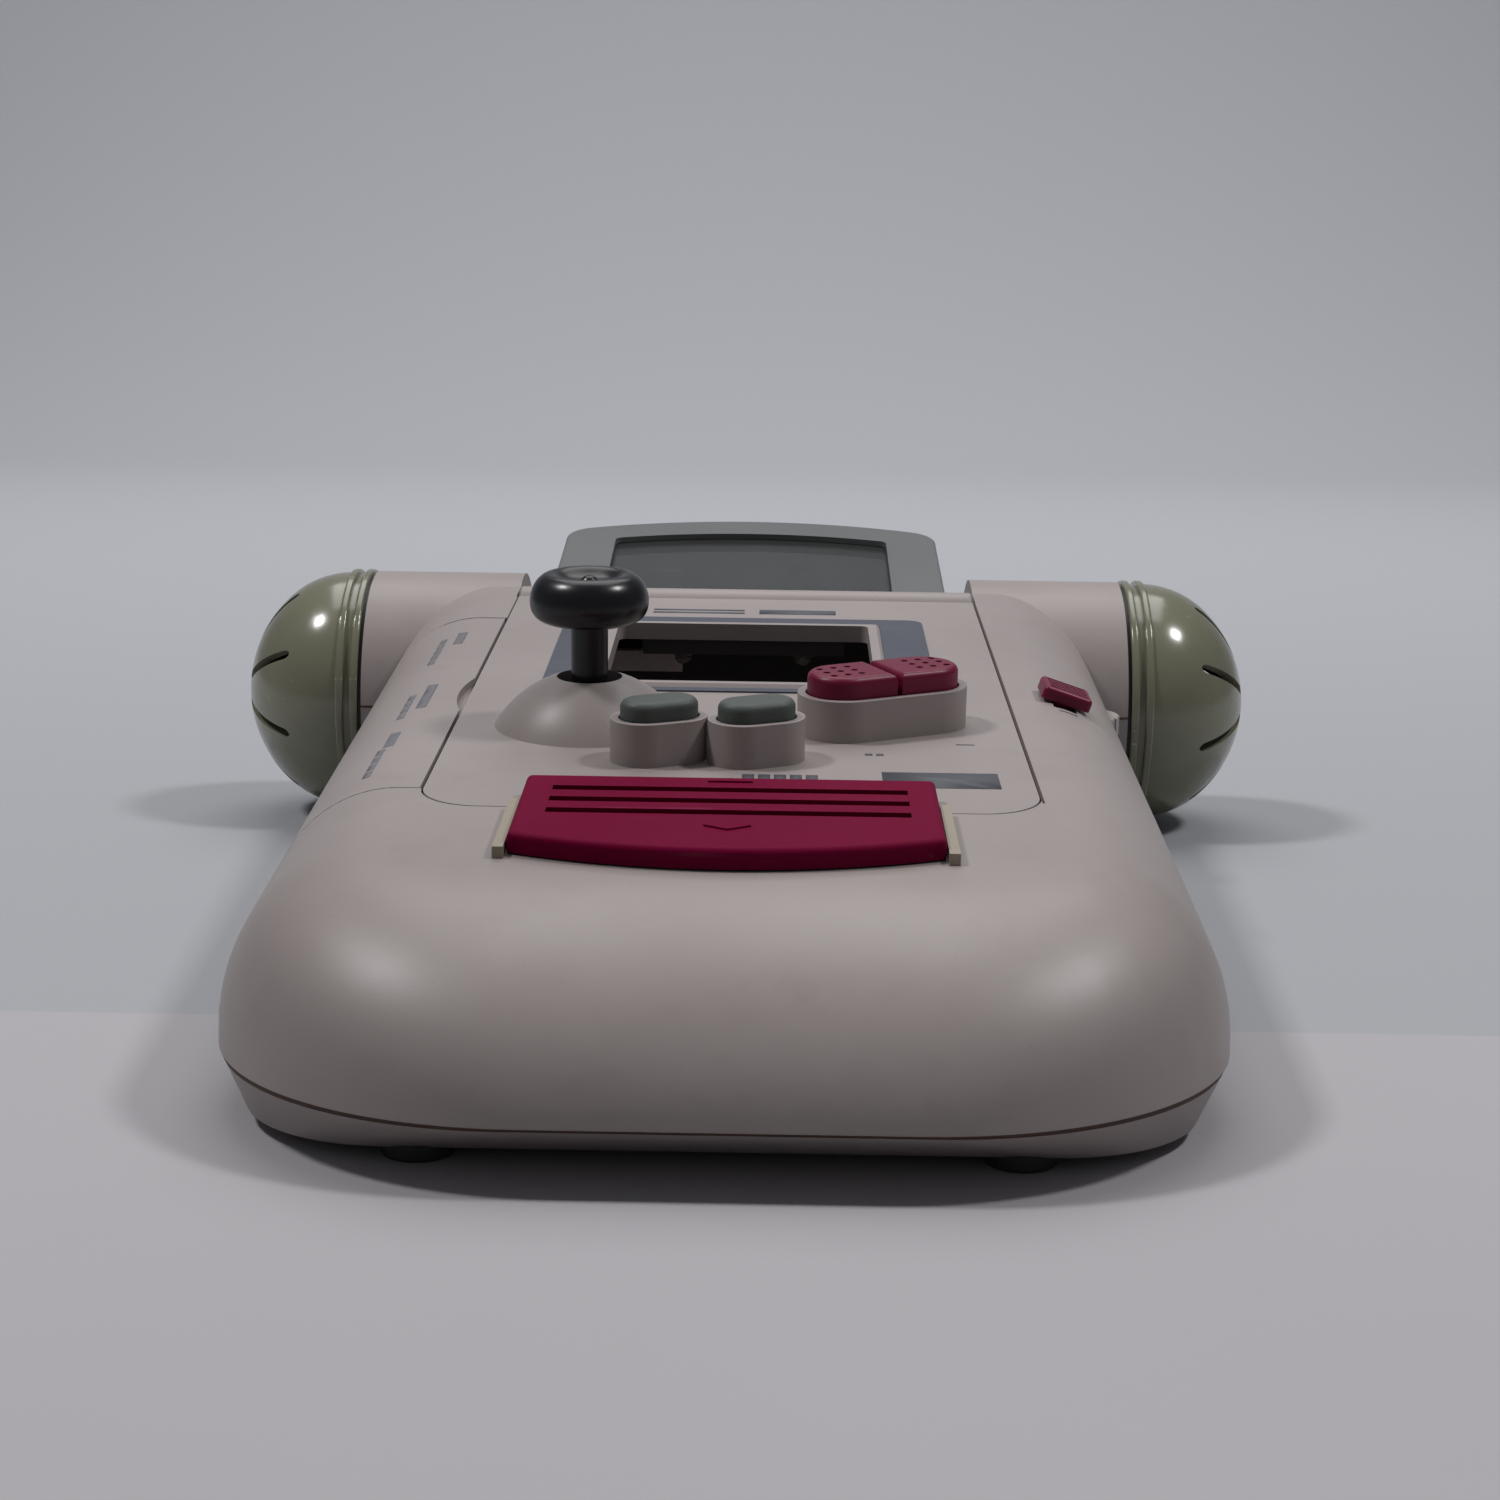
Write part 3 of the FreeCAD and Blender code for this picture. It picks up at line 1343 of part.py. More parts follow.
# Check every object and write each sub-part
doc.recompute()
for item in doc.Objects:
    if {"Invalid", "Error"} & set(item.State):
        raise RuntimeError(f"{item.Name} did not recompute: {item.State}")
os.makedirs("parts", exist_ok=True)
for label, item in nodes.items():
    shape = item.Shape
    if shape.isNull() or not shape.isValid():
        raise RuntimeError(f"{label} has no valid shape")
    box = shape.BoundBox
    print(f"{label}: {len(shape.Solids)} solids, {shape.Volume:.0f} mm3, "
          f"x {box.XMin:.1f} {box.XMax:.1f} y {box.YMin:.1f} {box.YMax:.1f} z {box.ZMin:.1f} {box.ZMax:.1f}")
    shape.exportStep(f"parts/{label}.step")
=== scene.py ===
"""Looks of a powered carrying case for a game console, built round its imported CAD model."""

import json
import math

import bmesh
import bpy
from mathutils import Matrix, Vector


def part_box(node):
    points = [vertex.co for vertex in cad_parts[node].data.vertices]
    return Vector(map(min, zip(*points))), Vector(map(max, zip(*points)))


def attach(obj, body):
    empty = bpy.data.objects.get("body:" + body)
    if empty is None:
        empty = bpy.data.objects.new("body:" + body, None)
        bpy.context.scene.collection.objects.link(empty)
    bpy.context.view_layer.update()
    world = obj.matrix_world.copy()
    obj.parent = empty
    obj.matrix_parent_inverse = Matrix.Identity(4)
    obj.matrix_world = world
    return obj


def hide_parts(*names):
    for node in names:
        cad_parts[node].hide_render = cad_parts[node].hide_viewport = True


bl_info = {
    "name": "Console carrying case looks",
    "version": (1, 0, 0),
    "blender": (4, 5, 0),
    "location": "3D View > Sidebar > Case",
    "description": "Gives the packed case its finishes, seams, marks, joystick cap and stage",
    "category": "Object",
}

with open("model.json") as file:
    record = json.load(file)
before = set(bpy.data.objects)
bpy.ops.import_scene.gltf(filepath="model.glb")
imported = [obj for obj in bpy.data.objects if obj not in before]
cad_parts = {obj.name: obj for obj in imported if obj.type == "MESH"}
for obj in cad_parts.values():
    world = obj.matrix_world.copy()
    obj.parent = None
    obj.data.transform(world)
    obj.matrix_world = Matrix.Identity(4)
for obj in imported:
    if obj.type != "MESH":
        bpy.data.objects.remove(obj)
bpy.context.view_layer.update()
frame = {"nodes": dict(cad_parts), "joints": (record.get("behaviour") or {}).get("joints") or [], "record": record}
NODES = frame["nodes"]
JOINTS = {joint["name"]: joint for joint in frame["joints"]}
MM = 0.001

# The lid's frame: x across, y towards the tube, z out of its top face. All flat marks use it.
LID_TILT = math.radians(4.54)
BARREL = Vector((0, 4.2, -2.8)) * MM
LID = (
    Matrix.Translation(Vector(JOINTS["lid_hinge"]["pos_m"]))
    @ Matrix.Rotation(LID_TILT, 4, "X")
    @ Matrix.Translation(-BARREL)
)
LID_UP = LID.to_3x3() @ Vector((0, 0, 1))
STICK = LID @ Matrix.Translation(Vector((-24.7, -106.0, 0)) * MM)
TUBE_AXIS = (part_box("cap_ring_left")[0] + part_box("cap_ring_left")[1]) / 2
TUBE_AXIS.x = 0

# How far a skin of dirt or cream stands off the plastic
SKIN = 0.05 * MM
# Height at which the two shells meet, and how far in front of the tube's axis the line ends
PARTING = 9.0 * MM
PARTING_END = 25.0 * MM
# The joystick cap's underside above the lid, and its outline as (share of its radius, height)
CAP_BASE = 17.2 * MM
CAP_OUTLINE = [
    (0.38, 0.0), (0.62, 0.2), (0.90, 0.9), (1.0, 2.9), (1.0, 4.7), (0.94, 6.8), (0.80, 8.3),
    (0.66, 8.8), (0.54, 8.5), (0.44, 7.7), (0.30, 7.2), (0.18, 7.2), (0.12, 7.9), (0.06, 8.3),
]
# Where the photograph was taken from: offset from the tube's axis, then pitch, yaw and roll
CAMERA_ACROSS = 6.61 * MM
CAMERA_BACK = 557.47 * MM
CAMERA_ANGLES = (10.28, -0.56, 0.81)
# The pale sheet's far edge, behind which the floor turns to the wall's colour
SHEET_EDGE = (-0.0845, -0.0835)


class CaseSizes(bpy.types.PropertyGroup):
    """Sizes of the added pieces, and the camera."""

    ink: bpy.props.FloatProperty(
        name="Ink", description="Thickness of the printed marks", default=0.04 * MM, unit="LENGTH")
    seam: bpy.props.FloatProperty(
        name="Seam", description="Width of the brown line where the two shells meet",
        default=0.8 * MM, unit="LENGTH")
    stick_radius: bpy.props.FloatProperty(
        name="Stick cap radius", description="Radius of the joystick's cap",
        default=10.0 * MM, unit="LENGTH")
    lens: bpy.props.FloatProperty(
        name="Camera lens", description="Focal length on a 36 mm sensor", default=62.4)
    camera_height: bpy.props.FloatProperty(
        name="Camera height", description="Height of the camera above the table",
        default=115.32 * MM, unit="LENGTH")


class CaseColours(bpy.types.PropertyGroup):
    """Colours of the finishes."""

    shell: bpy.props.FloatVectorProperty(
        name="Shell", description="Warm grey moulded plastic", subtype="COLOR",
        default=(0.318, 0.277, 0.269))
    crimson: bpy.props.FloatVectorProperty(
        name="Crimson", description="Latch, fire buttons and slide knob", subtype="COLOR",
        default=(0.150, 0.003, 0.030))
    olive: bpy.props.FloatVectorProperty(
        name="Olive", description="Speaker caps", subtype="COLOR", default=(0.182, 0.179, 0.124))
    sage: bpy.props.FloatVectorProperty(
        name="Sage", description="Magnifier frame", subtype="COLOR", default=(0.125, 0.132, 0.133))
    button_grey: bpy.props.FloatVectorProperty(
        name="Button grey", description="The pair of small buttons", subtype="COLOR",
        default=(0.078, 0.092, 0.084))
    stick: bpy.props.FloatVectorProperty(
        name="Stick", description="Joystick", subtype="COLOR", default=(0.008, 0.008, 0.010))
    slate: bpy.props.FloatVectorProperty(
        name="Slate", description="Printed field round the window", subtype="COLOR",
        default=(0.085, 0.090, 0.115))
    grime: bpy.props.FloatVectorProperty(
        name="Grime", description="Brown dirt that settles in the joints", subtype="COLOR",
        default=(0.055, 0.025, 0.015))
    ink: bpy.props.FloatVectorProperty(
        name="Ink", description="Printed marks", subtype="COLOR", default=(0.07, 0.075, 0.09))
    faint_ink: bpy.props.FloatVectorProperty(
        name="Faint ink", description="Worn printing on the hatch", subtype="COLOR",
        default=(0.14, 0.138, 0.155))
    table: bpy.props.FloatVectorProperty(
        name="Table", description="The pale floor", subtype="COLOR", default=(0.418, 0.403, 0.424))
    wall: bpy.props.FloatVectorProperty(
        name="Wall", description="The backdrop", subtype="COLOR", default=(0.43, 0.438, 0.466))


# Shader helpers
def add(tree, kind, **settings):
    """A node of a kind, with its properties set by name and its inputs by socket name."""
    node = tree.nodes.new(kind)
    for key, value in settings.items():
        if hasattr(node, key):
            setattr(node, key, value)
        else:
            node.inputs[key.replace("_", " ")].default_value = value
    return node


def ramp(tree, mask, low, high):
    """Stretch a mask so that low becomes 0 and high becomes 1."""
    node = add(
        tree, "ShaderNodeMapRange", interpolation_type="SMOOTHSTEP", From_Min=low, From_Max=high)
    tree.links.new(mask, node.inputs["Value"])
    return node.outputs["Result"]


def blended(tree, factor, one, two, mode="MIX"):
    """Two colours mixed by a factor; each is a socket or a plain colour."""
    node = add(tree, "ShaderNodeMix", data_type="RGBA", blend_type=mode)
    # The node keeps its colour sockets at 6 and 7, and its colour result at 2
    for socket, value in ((node.inputs[0], factor), (node.inputs[6], one), (node.inputs[7], two)):
        if isinstance(value, bpy.types.NodeSocket):
            tree.links.new(value, socket)
        else:
            socket.default_value = value
    return node.outputs[2]


def noise(tree, coordinates, scale, detail=3.0, rough=0.5):
    """A noise texture's value at the given coordinates."""
    node = add(tree, "ShaderNodeTexNoise", Scale=scale, Detail=detail, Roughness=rough)
    tree.links.new(coordinates, node.inputs["Vector"])
    return node.outputs["Fac"]


def new_group(name, inputs, outputs):
    """An empty shader group with its sockets: (name, socket type, default) in, (name, type) out."""
    group = bpy.data.node_groups.new(name, "ShaderNodeTree")
    for label, kind, default in inputs:
        socket = group.interface.new_socket(label, in_out="INPUT", socket_type=kind)
        socket.default_value = default
    for label, kind in outputs:
        group.interface.new_socket(label, in_out="OUTPUT", socket_type=kind)
    return group, group.nodes.new("NodeGroupInput"), group.nodes.new("NodeGroupOutput")


def skin_group():
    """Moulded plastic: tone drift, handling smudges and a fine spark-eroded grain."""
    group, start, end = new_group(
        "Moulded skin",
        [
            ("Color", "NodeSocketColor", (0.5, 0.5, 0.5, 1)),
            ("Grime", "NodeSocketColor", (0.1, 0.06, 0.04, 1)),
            ("Dirt", "NodeSocketFloat", 0.15),
            ("Grain Size", "NodeSocketFloat", 2600.0),
            ("Gloss", "NodeSocketFloat", 0.4),
        ],
        [
            ("Color", "NodeSocketColor"),
            ("Roughness", "NodeSocketFloat"),
            ("Height", "NodeSocketFloat"),
        ])
    link = group.links.new
    where = add(group, "ShaderNodeTexCoord").outputs["Object"]
    drift = noise(group, where, 14.0, 4.0)
    lighter = add(group, "ShaderNodeHueSaturation", Value=1.07)
    darker = add(group, "ShaderNodeHueSaturation", Value=0.93, Saturation=1.06)
    link(start.outputs["Color"], lighter.inputs["Color"])
    link(start.outputs["Color"], darker.inputs["Color"])
    toned = blended(group, ramp(group, drift, 0.3, 0.7), darker.outputs[0], lighter.outputs[0])
    smudge = ramp(group, noise(group, where, 60.0, 8.0, 0.65), 0.5, 0.8)
    speck = ramp(group, noise(group, where, 900.0, 2.0), 0.70, 0.78)
    both = add(group, "ShaderNodeMath", operation="MAXIMUM")
    link(smudge, both.inputs[0])
    link(speck, both.inputs[1])
    amount = add(group, "ShaderNodeMath", operation="MULTIPLY", use_clamp=True)
    link(both.outputs[0], amount.inputs[0])
    link(start.outputs["Dirt"], amount.inputs[1])
    link(blended(group, amount.outputs[0], toned, start.outputs["Grime"]), end.inputs["Color"])
    rough = add(group, "ShaderNodeMath", operation="MULTIPLY_ADD")
    link(noise(group, where, 45.0, 6.0, 0.6), rough.inputs[0])
    rough.inputs[1].default_value = 0.16
    link(start.outputs["Gloss"], rough.inputs[2])
    link(rough.outputs[0], end.inputs["Roughness"])
    grain = add(group, "ShaderNodeTexNoise", Detail=2.0)
    link(where, grain.inputs["Vector"])
    link(start.outputs["Grain Size"], grain.inputs["Scale"])
    link(grain.outputs["Fac"], end.inputs["Height"])
    return group


def scratch_group():
    """Fine straight scratches in two directions, as a mask."""
    group, start, end = new_group(
        "Scratches", [("Density", "NodeSocketFloat", 0.6)], [("Mask", "NodeSocketFloat")])
    link = group.links.new
    where = add(group, "ShaderNodeTexCoord").outputs["Object"]
    masks = []
    for turn, stretch in (((0.4, 0.3, 0.9), (20, 900, 500)), ((1.2, -0.5, 2.2), (14, 700, 600))):
        place = add(group, "ShaderNodeMapping")
        place.inputs["Rotation"].default_value = turn
        place.inputs["Scale"].default_value = stretch
        link(where, place.inputs["Vector"])
        line = noise(group, place.outputs["Vector"], 1.0, 1.0)
        patchy = ramp(group, noise(group, where, 60.0, 2.0), 0.45, 0.62)
        thin = add(group, "ShaderNodeMath", operation="MULTIPLY")
        link(ramp(group, line, 0.73, 0.78), thin.inputs[0])
        link(patchy, thin.inputs[1])
        masks.append(thin.outputs[0])
    both = add(group, "ShaderNodeMath", operation="MAXIMUM")
    link(masks[0], both.inputs[0])
    link(masks[1], both.inputs[1])
    out = add(group, "ShaderNodeMath", operation="MULTIPLY")
    link(both.outputs[0], out.inputs[0])
    link(start.outputs["Density"], out.inputs[1])
    link(out.outputs[0], end.inputs["Mask"])
    return group


GROUPS = {}


def shared(name, build):
    """One copy of a node group, made when it is first wanted."""
    if name not in GROUPS:
        GROUPS[name] = build()
    return GROUPS[name]


def plastic(
        name, colour, gloss=0.4, dirt=0.12, grain=2600.0, bump=0.12, scratches=0.0, coat=0.0,
        shine=0.5):
    """A moulded plastic finish: its roughness, dirt, grain, scratches, lacquer and reflection."""
    material = bpy.data.materials.new(name)
    material.use_nodes = True
    tree = material.node_tree
    shader = tree.nodes["Principled BSDF"]
    skin = add(tree, "ShaderNodeGroup", node_tree=shared("skin", skin_group))
    skin.inputs["Color"].default_value = (*colour, 1)
    skin.inputs["Grime"].default_value = (*bpy.context.scene.case_colours.grime, 1)
    skin.inputs["Dirt"].default_value = dirt
    skin.inputs["Grain Size"].default_value = grain
    skin.inputs["Gloss"].default_value = gloss
    tone = skin.outputs["Color"]
    if scratches:
        marks = add(tree, "ShaderNodeGroup", node_tree=shared("scratches", scratch_group))
        marks.inputs["Density"].default_value = scratches
        pale = tuple(min(1.0, 0.25 + channel * 1.6) for channel in colour)
        tone = blended(tree, marks.outputs["Mask"], tone, (*pale, 1))
    tree.links.new(tone, shader.inputs["Base Color"])
    tree.links.new(skin.outputs["Roughness"], shader.inputs["Roughness"])
    relief = add(tree, "ShaderNodeBump", Strength=bump, Distance=0.0001)
    tree.links.new(skin.outputs["Height"], relief.inputs["Height"])
    tree.links.new(relief.outputs["Normal"], shader.inputs["Normal"])
    shader.inputs["Specular IOR Level"].default_value = shine
    shader.inputs["Coat Weight"].default_value = coat
    shader.inputs["Coat Roughness"].default_value = 0.15
    return material


def metal(name, colour, rough=0.3, brush=(30, 30, 900)):
    """Drawn or stamped metal with a brushed grain along one axis."""
    material = plastic(name, colour, gloss=rough, dirt=0.1, grain=1800.0, bump=0.1)
    tree = material.node_tree
    shader = tree.nodes["Principled BSDF"]
    shader.inputs["Metallic"].default_value = 1.0
    where = add(tree, "ShaderNodeTexCoord").outputs["Object"]
    place = add(tree, "ShaderNodeMapping")
    place.inputs["Scale"].default_value = brush
    tree.links.new(where, place.inputs["Vector"])
    lines = noise(tree, place.outputs["Vector"], 3.0, 3.0)
    tree.links.new(ramp(tree, lines, -0.6, 1.8), shader.inputs["Roughness"])
    return material


def tinted_lens(name):
    """Dusty smoke-tinted acrylic."""
    material = plastic(name, (0.035, 0.036, 0.035), gloss=0.12, dirt=0.15, bump=0.02, scratches=0.3)
    tree = material.node_tree
    shader = tree.nodes["Principled BSDF"]
    where = add(tree, "ShaderNodeTexCoord").outputs["Object"]
    haze = ramp(tree, noise(tree, where, 160.0, 7.0, 0.7), 0.1, 1.3)
    film = add(tree, "ShaderNodeMapRange", To_Min=0.74, To_Max=0.94)
    tree.links.new(haze, film.inputs["Value"])
    tree.links.new(film.outputs["Result"], shader.inputs["Alpha"])
    shader.inputs["IOR"].default_value = 1.49
    return material


def bulb_glass(name):
    """Clear warm glass."""
    material = bpy.data.materials.new(name)
    material.use_nodes = True
    tree = material.node_tree
    shader = tree.nodes["Principled BSDF"]
    shader.inputs["Transmission Weight"].default_value = 0.9
    skin = add(tree, "ShaderNodeGroup", node_tree=shared("skin", skin_group))
    skin.inputs["Color"].default_value = (0.85, 0.82, 0.72, 1)
    skin.inputs["Gloss"].default_value = 0.05
    tree.links.new(skin.outputs["Color"], shader.inputs["Base Color"])
    tree.links.new(skin.outputs["Roughness"], shader.inputs["Roughness"])
    return material


FINISHES = {}
# Nodes whose finish differs from that of their slot: a duller latch, and a tab painted paler as painted light, for
# the light that reaches it inside the bay
OWN_FINISHES = {"latch_bar": "latch_crimson", "bay_tab": "tab"}


def finishes():
    """Every finish by the name of the record's material slot, made once."""
    if not FINISHES:
        FINISHES.update(made_finishes())
    return FINISHES


def made_finishes():
    """A new material for each slot of the record, and for each finish of the added pieces."""
    tint = bpy.context.scene.case_colours
    made = [
        plastic("shell", tint.shell, gloss=0.34, dirt=0.10, bump=0.10, shine=0.4),
        plastic(
            "crimson", tint.crimson, gloss=0.30, dirt=0.05, bump=0.05, scratches=0.12, shine=0.3),
        plastic(
            "latch_crimson", tint.crimson, gloss=0.45, dirt=0.04, bump=0.05, scratches=0.1,
            shine=0.03),
        plastic("olive", tint.olive, gloss=0.12, dirt=0.10, bump=0.03, scratches=0.45, coat=0.3),
        plastic("sage", tint.sage, gloss=0.30, dirt=0.12, bump=0.08, scratches=0.1),
        plastic("grey_button", tint.button_grey, gloss=0.42, dirt=0.10, bump=0.25, shine=0.25),
        plastic("stick", tint.stick, gloss=0.20, dirt=0.03, bump=0.05, scratches=0.06, shine=0.4),
        plastic(
            "surround", tint.slate, gloss=0.45, dirt=0.12, bump=0.06, scratches=0.15, shine=0.15),
        plastic("dark_plastic", (0.035, 0.033, 0.032), gloss=0.4, dirt=0.2),
        plastic("ink", tint.ink, gloss=0.45, dirt=0.1),
        plastic("faint_ink", tint.faint_ink, gloss=0.45, dirt=0.1),
        # Painted light: the bay tab is shell plastic, painted far paler to stand in for the light that reaches it
        # through the window
        plastic("tab", (0.75, 0.69, 0.66), gloss=0.45, dirt=0.05),
        plastic("grime", tint.grime, gloss=0.6, dirt=0.4),
        plastic("cream", (0.31, 0.27, 0.21), gloss=0.4, dirt=0.4),
        plastic("board", (0.30, 0.16, 0.06), gloss=0.35, dirt=0.15),
        plastic("rubber", (0.018, 0.018, 0.018), gloss=0.6, dirt=0.3, bump=0.2),
        plastic("cone", (0.03, 0.03, 0.03), gloss=0.7, dirt=0.2, grain=900.0, bump=0.5),
        plastic("magnet", (0.05, 0.05, 0.055), gloss=0.35, dirt=0.1),
        plastic("cell", (0.03, 0.035, 0.06), gloss=0.15, dirt=0.03, bump=0.02),
        metal("steel", (0.55, 0.55, 0.56)),
        metal("contact", (0.70, 0.52, 0.24), rough=0.25),
        tinted_lens("lens"),
        bulb_glass("bulb"),
    ]
    return {material.name.split(".")[0]: material for material in made}


# Mesh helpers
def finished(bm, name, material, body, smooth=True):
    """Turn a bmesh into a piece of the object: its finish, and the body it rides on."""
    mesh = bpy.data.meshes.new(name)
    bm.to_mesh(mesh)
    bm.free()
    piece = bpy.data.objects.new(name, mesh)
    bpy.context.scene.collection.objects.link(piece)
    mesh.materials.append(finishes()[material])
    if smooth:
        mesh.shade_smooth()
    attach(piece, body)
    return piece


def cut_patch(node, planes, lift, facing=None):
    """A thin skin over part of a CAD node: what lies behind every plane, raised off the surface.

    Each plane is (point, normal) and the side that its normal points to is cut away. facing keeps
    only the faces that look about that way.
    """
    bm = bmesh.new()
    bm.from_mesh(NODES[node].data)
    bmesh.ops.remove_doubles(bm, verts=bm.verts, dist=1e-6)
    for point, normal in planes:
        bmesh.ops.bisect_plane(
            bm, geom=bm.verts[:] + bm.edges[:] + bm.faces[:], plane_co=point, plane_no=normal,
            clear_outer=True)
    if facing is not None:
        away = [face for face in bm.faces if face.normal.dot(facing) < 0.15]
        bmesh.ops.delete(bm, geom=away, context="FACES")
    if not bm.faces:
        raise RuntimeError(f"no part of {node} lies inside the planes given")
    bm.normal_update()
    for vert in bm.verts:
        vert.co += vert.normal * lift
    bmesh.ops.solidify(bm, geom=bm.faces[:], thickness=lift * 0.6)
    bmesh.ops.recalc_face_normals(bm, faces=bm.faces)
    return bm


def box_planes(x0, x1, y0, y1, z0, z1, place=LID):
    """The six planes of a box given in millimetres in a frame."""
    turn = place.to_3x3()
    low = place @ (Vector((x0, y0, z0)) * MM)
    high = place @ (Vector((x1, y1, z1)) * MM)
    planes = []
    for axis in (Vector((1, 0, 0)), Vector((0, 1, 0)), Vector((0, 0, 1))):
        planes.append((low, turn @ -axis))
        planes.append((high, turn @ axis))
    return planes


def joined(parts):
    """Several bmeshes as one."""
    whole = bmesh.new()
    for part in parts:
        mesh = bpy.data.meshes.new("part")
        part.to_mesh(mesh)
        part.free()
        whole.from_mesh(mesh)
        bpy.data.meshes.remove(mesh)
    return whole


def printed(node, spans, low=-6.0, high=1.5):
    """Ink bars on a node's outer face; each span is (x0, x1, y0, y1) in the lid's millimetres."""
    lift = bpy.context.scene.case_sizes.ink
    return joined([
        cut_patch(node, box_planes(x0, x1, y0, y1, low, high), lift, LID_UP)
        for x0, x1, y0, y1 in spans
    ])


# Operators, one for each piece or group of like pieces
class CASE_OT_dress(bpy.types.Operator):
    """Give every CAD node its finish"""

    bl_idname = "case.dress"
    bl_label = "Dress the CAD nodes"

    def execute(self, context):
        made = finishes()
        for row in frame["record"]["subparts"]:
            node = NODES[row["node"]]
            finish = OWN_FINISHES.get(row["node"], row["material_slot"])
            node.data.materials.clear()
            node.data.materials.append(made[finish])
        return {"FINISHED"}


class CASE_OT_seams(bpy.types.Operator):
    """Draw the brown lines of dirt along the joints between the mouldings"""

    bl_idname = "case.seams"
    bl_label = "Seams"

    def execute(self, context):
        width = context.scene.case_sizes.seam
        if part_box("lower_shell")[1].z < PARTING:
            raise RuntimeError("the lower shell ends below the parting line")
        planes = [
            (Vector((0, 0, PARTING - 0.02 * MM)), Vector((0, 0, 1))),
            (Vector((0, 0, PARTING - width)), Vector((0, 0, -1))),
            (Vector((0, TUBE_AXIS.y - PARTING_END, 0)), Vector((0, 1, 0))),
        ]
        finished(cut_patch("lower_shell", planes, SKIN), "parting_line", "grime", "housing")
        beside_lid = box_planes(47.4, 47.75, -150.5, 1.0, -1.2, 0.4)
        seam = cut_patch("upper_shell", beside_lid, SKIN, LID_UP)
        finished(seam, "lid_seam", "grime", "housing")
        level = Matrix.Translation(Vector((0, TUBE_AXIS.y, 0)))
        tube_front = box_planes(-79.6, 79.6, -26.0, -24.0, 26.5, 26.95, level)
        split = cut_patch("upper_shell", tube_front, SKIN, Vector((0, -1, 0)))
        finished(split, "tube_split", "grime", "housing")
        hatch_top = box_planes(-60.0, -48.0, -21.6, -21.2, -4.0, 0.4)
        edge = cut_patch("port_hatch", hatch_top, SKIN, LID_UP)
        finished(edge, "hatch_seam", "grime", "hatch")
        return {"FINISHED"}


class CASE_OT_marks(bpy.types.Operator):
    """Print the plain marks on the lid and beside the controls"""

    bl_idname = "case.marks"
    bl_label = "Printed marks"

    def execute(self, context):
        header = [(-18.5, 0.0, -13.8, -12.4), (-18.5, 0.0, -11.2, -9.8), (3.0, 18.5, -13.8, -9.6)]
        under_buttons = [
            (36.4, 39.4, -116.4, -115.9), (21.2, 22.4, -124.0, -122.8), (23.0, 24.2, -124.0, -122.8),
        ]
        below = [(1.5 + 2.5 * i, 3.4 + 2.5 * i, -140.5, -136.5) for i in range(5)]
        below.append((23.5, 41.8, -143.0, -134.0))
        marks = printed("lid_panel", header + under_buttons + below, -0.5, 0.5)
        finished(marks, "lid_marks", "ink", "lid")
        return {"FINISHED"}


class CASE_OT_hatch_marks(bpy.types.Operator):
    """Print the rows of plain bars along the hatch and the two beside the slide knob"""

    bl_idname = "case.hatch_marks"
    bl_label = "Hatch and knob marks"

    def execute(self, context):
        solid = [
            (-55.4, -53.6, -45.0, -35.0), (-55.6, -53.8, -95.5, -78.5), (-57.6, -55.8, -120.0, -111.0),
        ]
        wide, long, step = 1.3, 3.6, 4.4
        rows = []
        for across, start, count in ((-58.4, -60.0, 5), (-58.2, -101.0, 4), (-58.2, -138.0, 4)):
            for i in range(count):
                rows.append((across, across + wide, start + i * step, start + i * step + long))
        marks = printed("port_hatch", solid + rows)
        finished(marks, "hatch_marks", "faint_ink", "hatch")
        beside = [(55.6, 58.8, -73.2, -72.4), (56.2, 59.4, -89.2, -88.4)]
        finished(printed("upper_shell", beside), "knob_marks", "ink", "housing")
        return {"FINISHED"}


class CASE_OT_guides(bpy.types.Operator):
    """Skin the two ribs beside the latch in cream"""

    bl_idname = "case.guides"
    bl_label = "Latch guides"

    def execute(self, context):
        for name, low, high in (("guide_left", -32.85, -31.25), ("guide_right", 31.25, 32.85)):
            rib_box = box_planes(low, high, -183.05, -158.1, 0.05, 2.2)
            rib = cut_patch("upper_shell", rib_box, SKIN)
            finished(rib, name, "cream", "housing", smooth=False)
        return {"FINISHED"}


class CASE_OT_arrows(bpy.types.Operator):
    """Raise a small arrow at each end of the latch's grip, over and under the grooves"""

    bl_idname = "case.arrows"
    bl_label = "Latch arrows"

    def execute(self, context):
        half, foot, top = 3.4, 3.2, 3.55
        bm = bmesh.new()
        for tip, root in ((-151.6, -153.4), (-178.6, -176.6)):
            rings = []
            for height in (foot, top):
                corners = ((0, tip, height), (-half, root, height), (half, root, height))
                rings.append([bm.verts.new(LID @ (Vector(corner) * MM)) for corner in corners])
            bm.faces.new(rings[0])
            bm.faces.new(rings[1])
            for i in range(3):
                bm.faces.new((rings[0][i], rings[0][i - 1], rings[1][i - 1], rings[1][i]))
        bmesh.ops.recalc_face_normals(bm, faces=bm.faces)
        finished(bm, "latch_arrows", "latch_crimson", "latch", smooth=False)
        return {"FINISHED"}


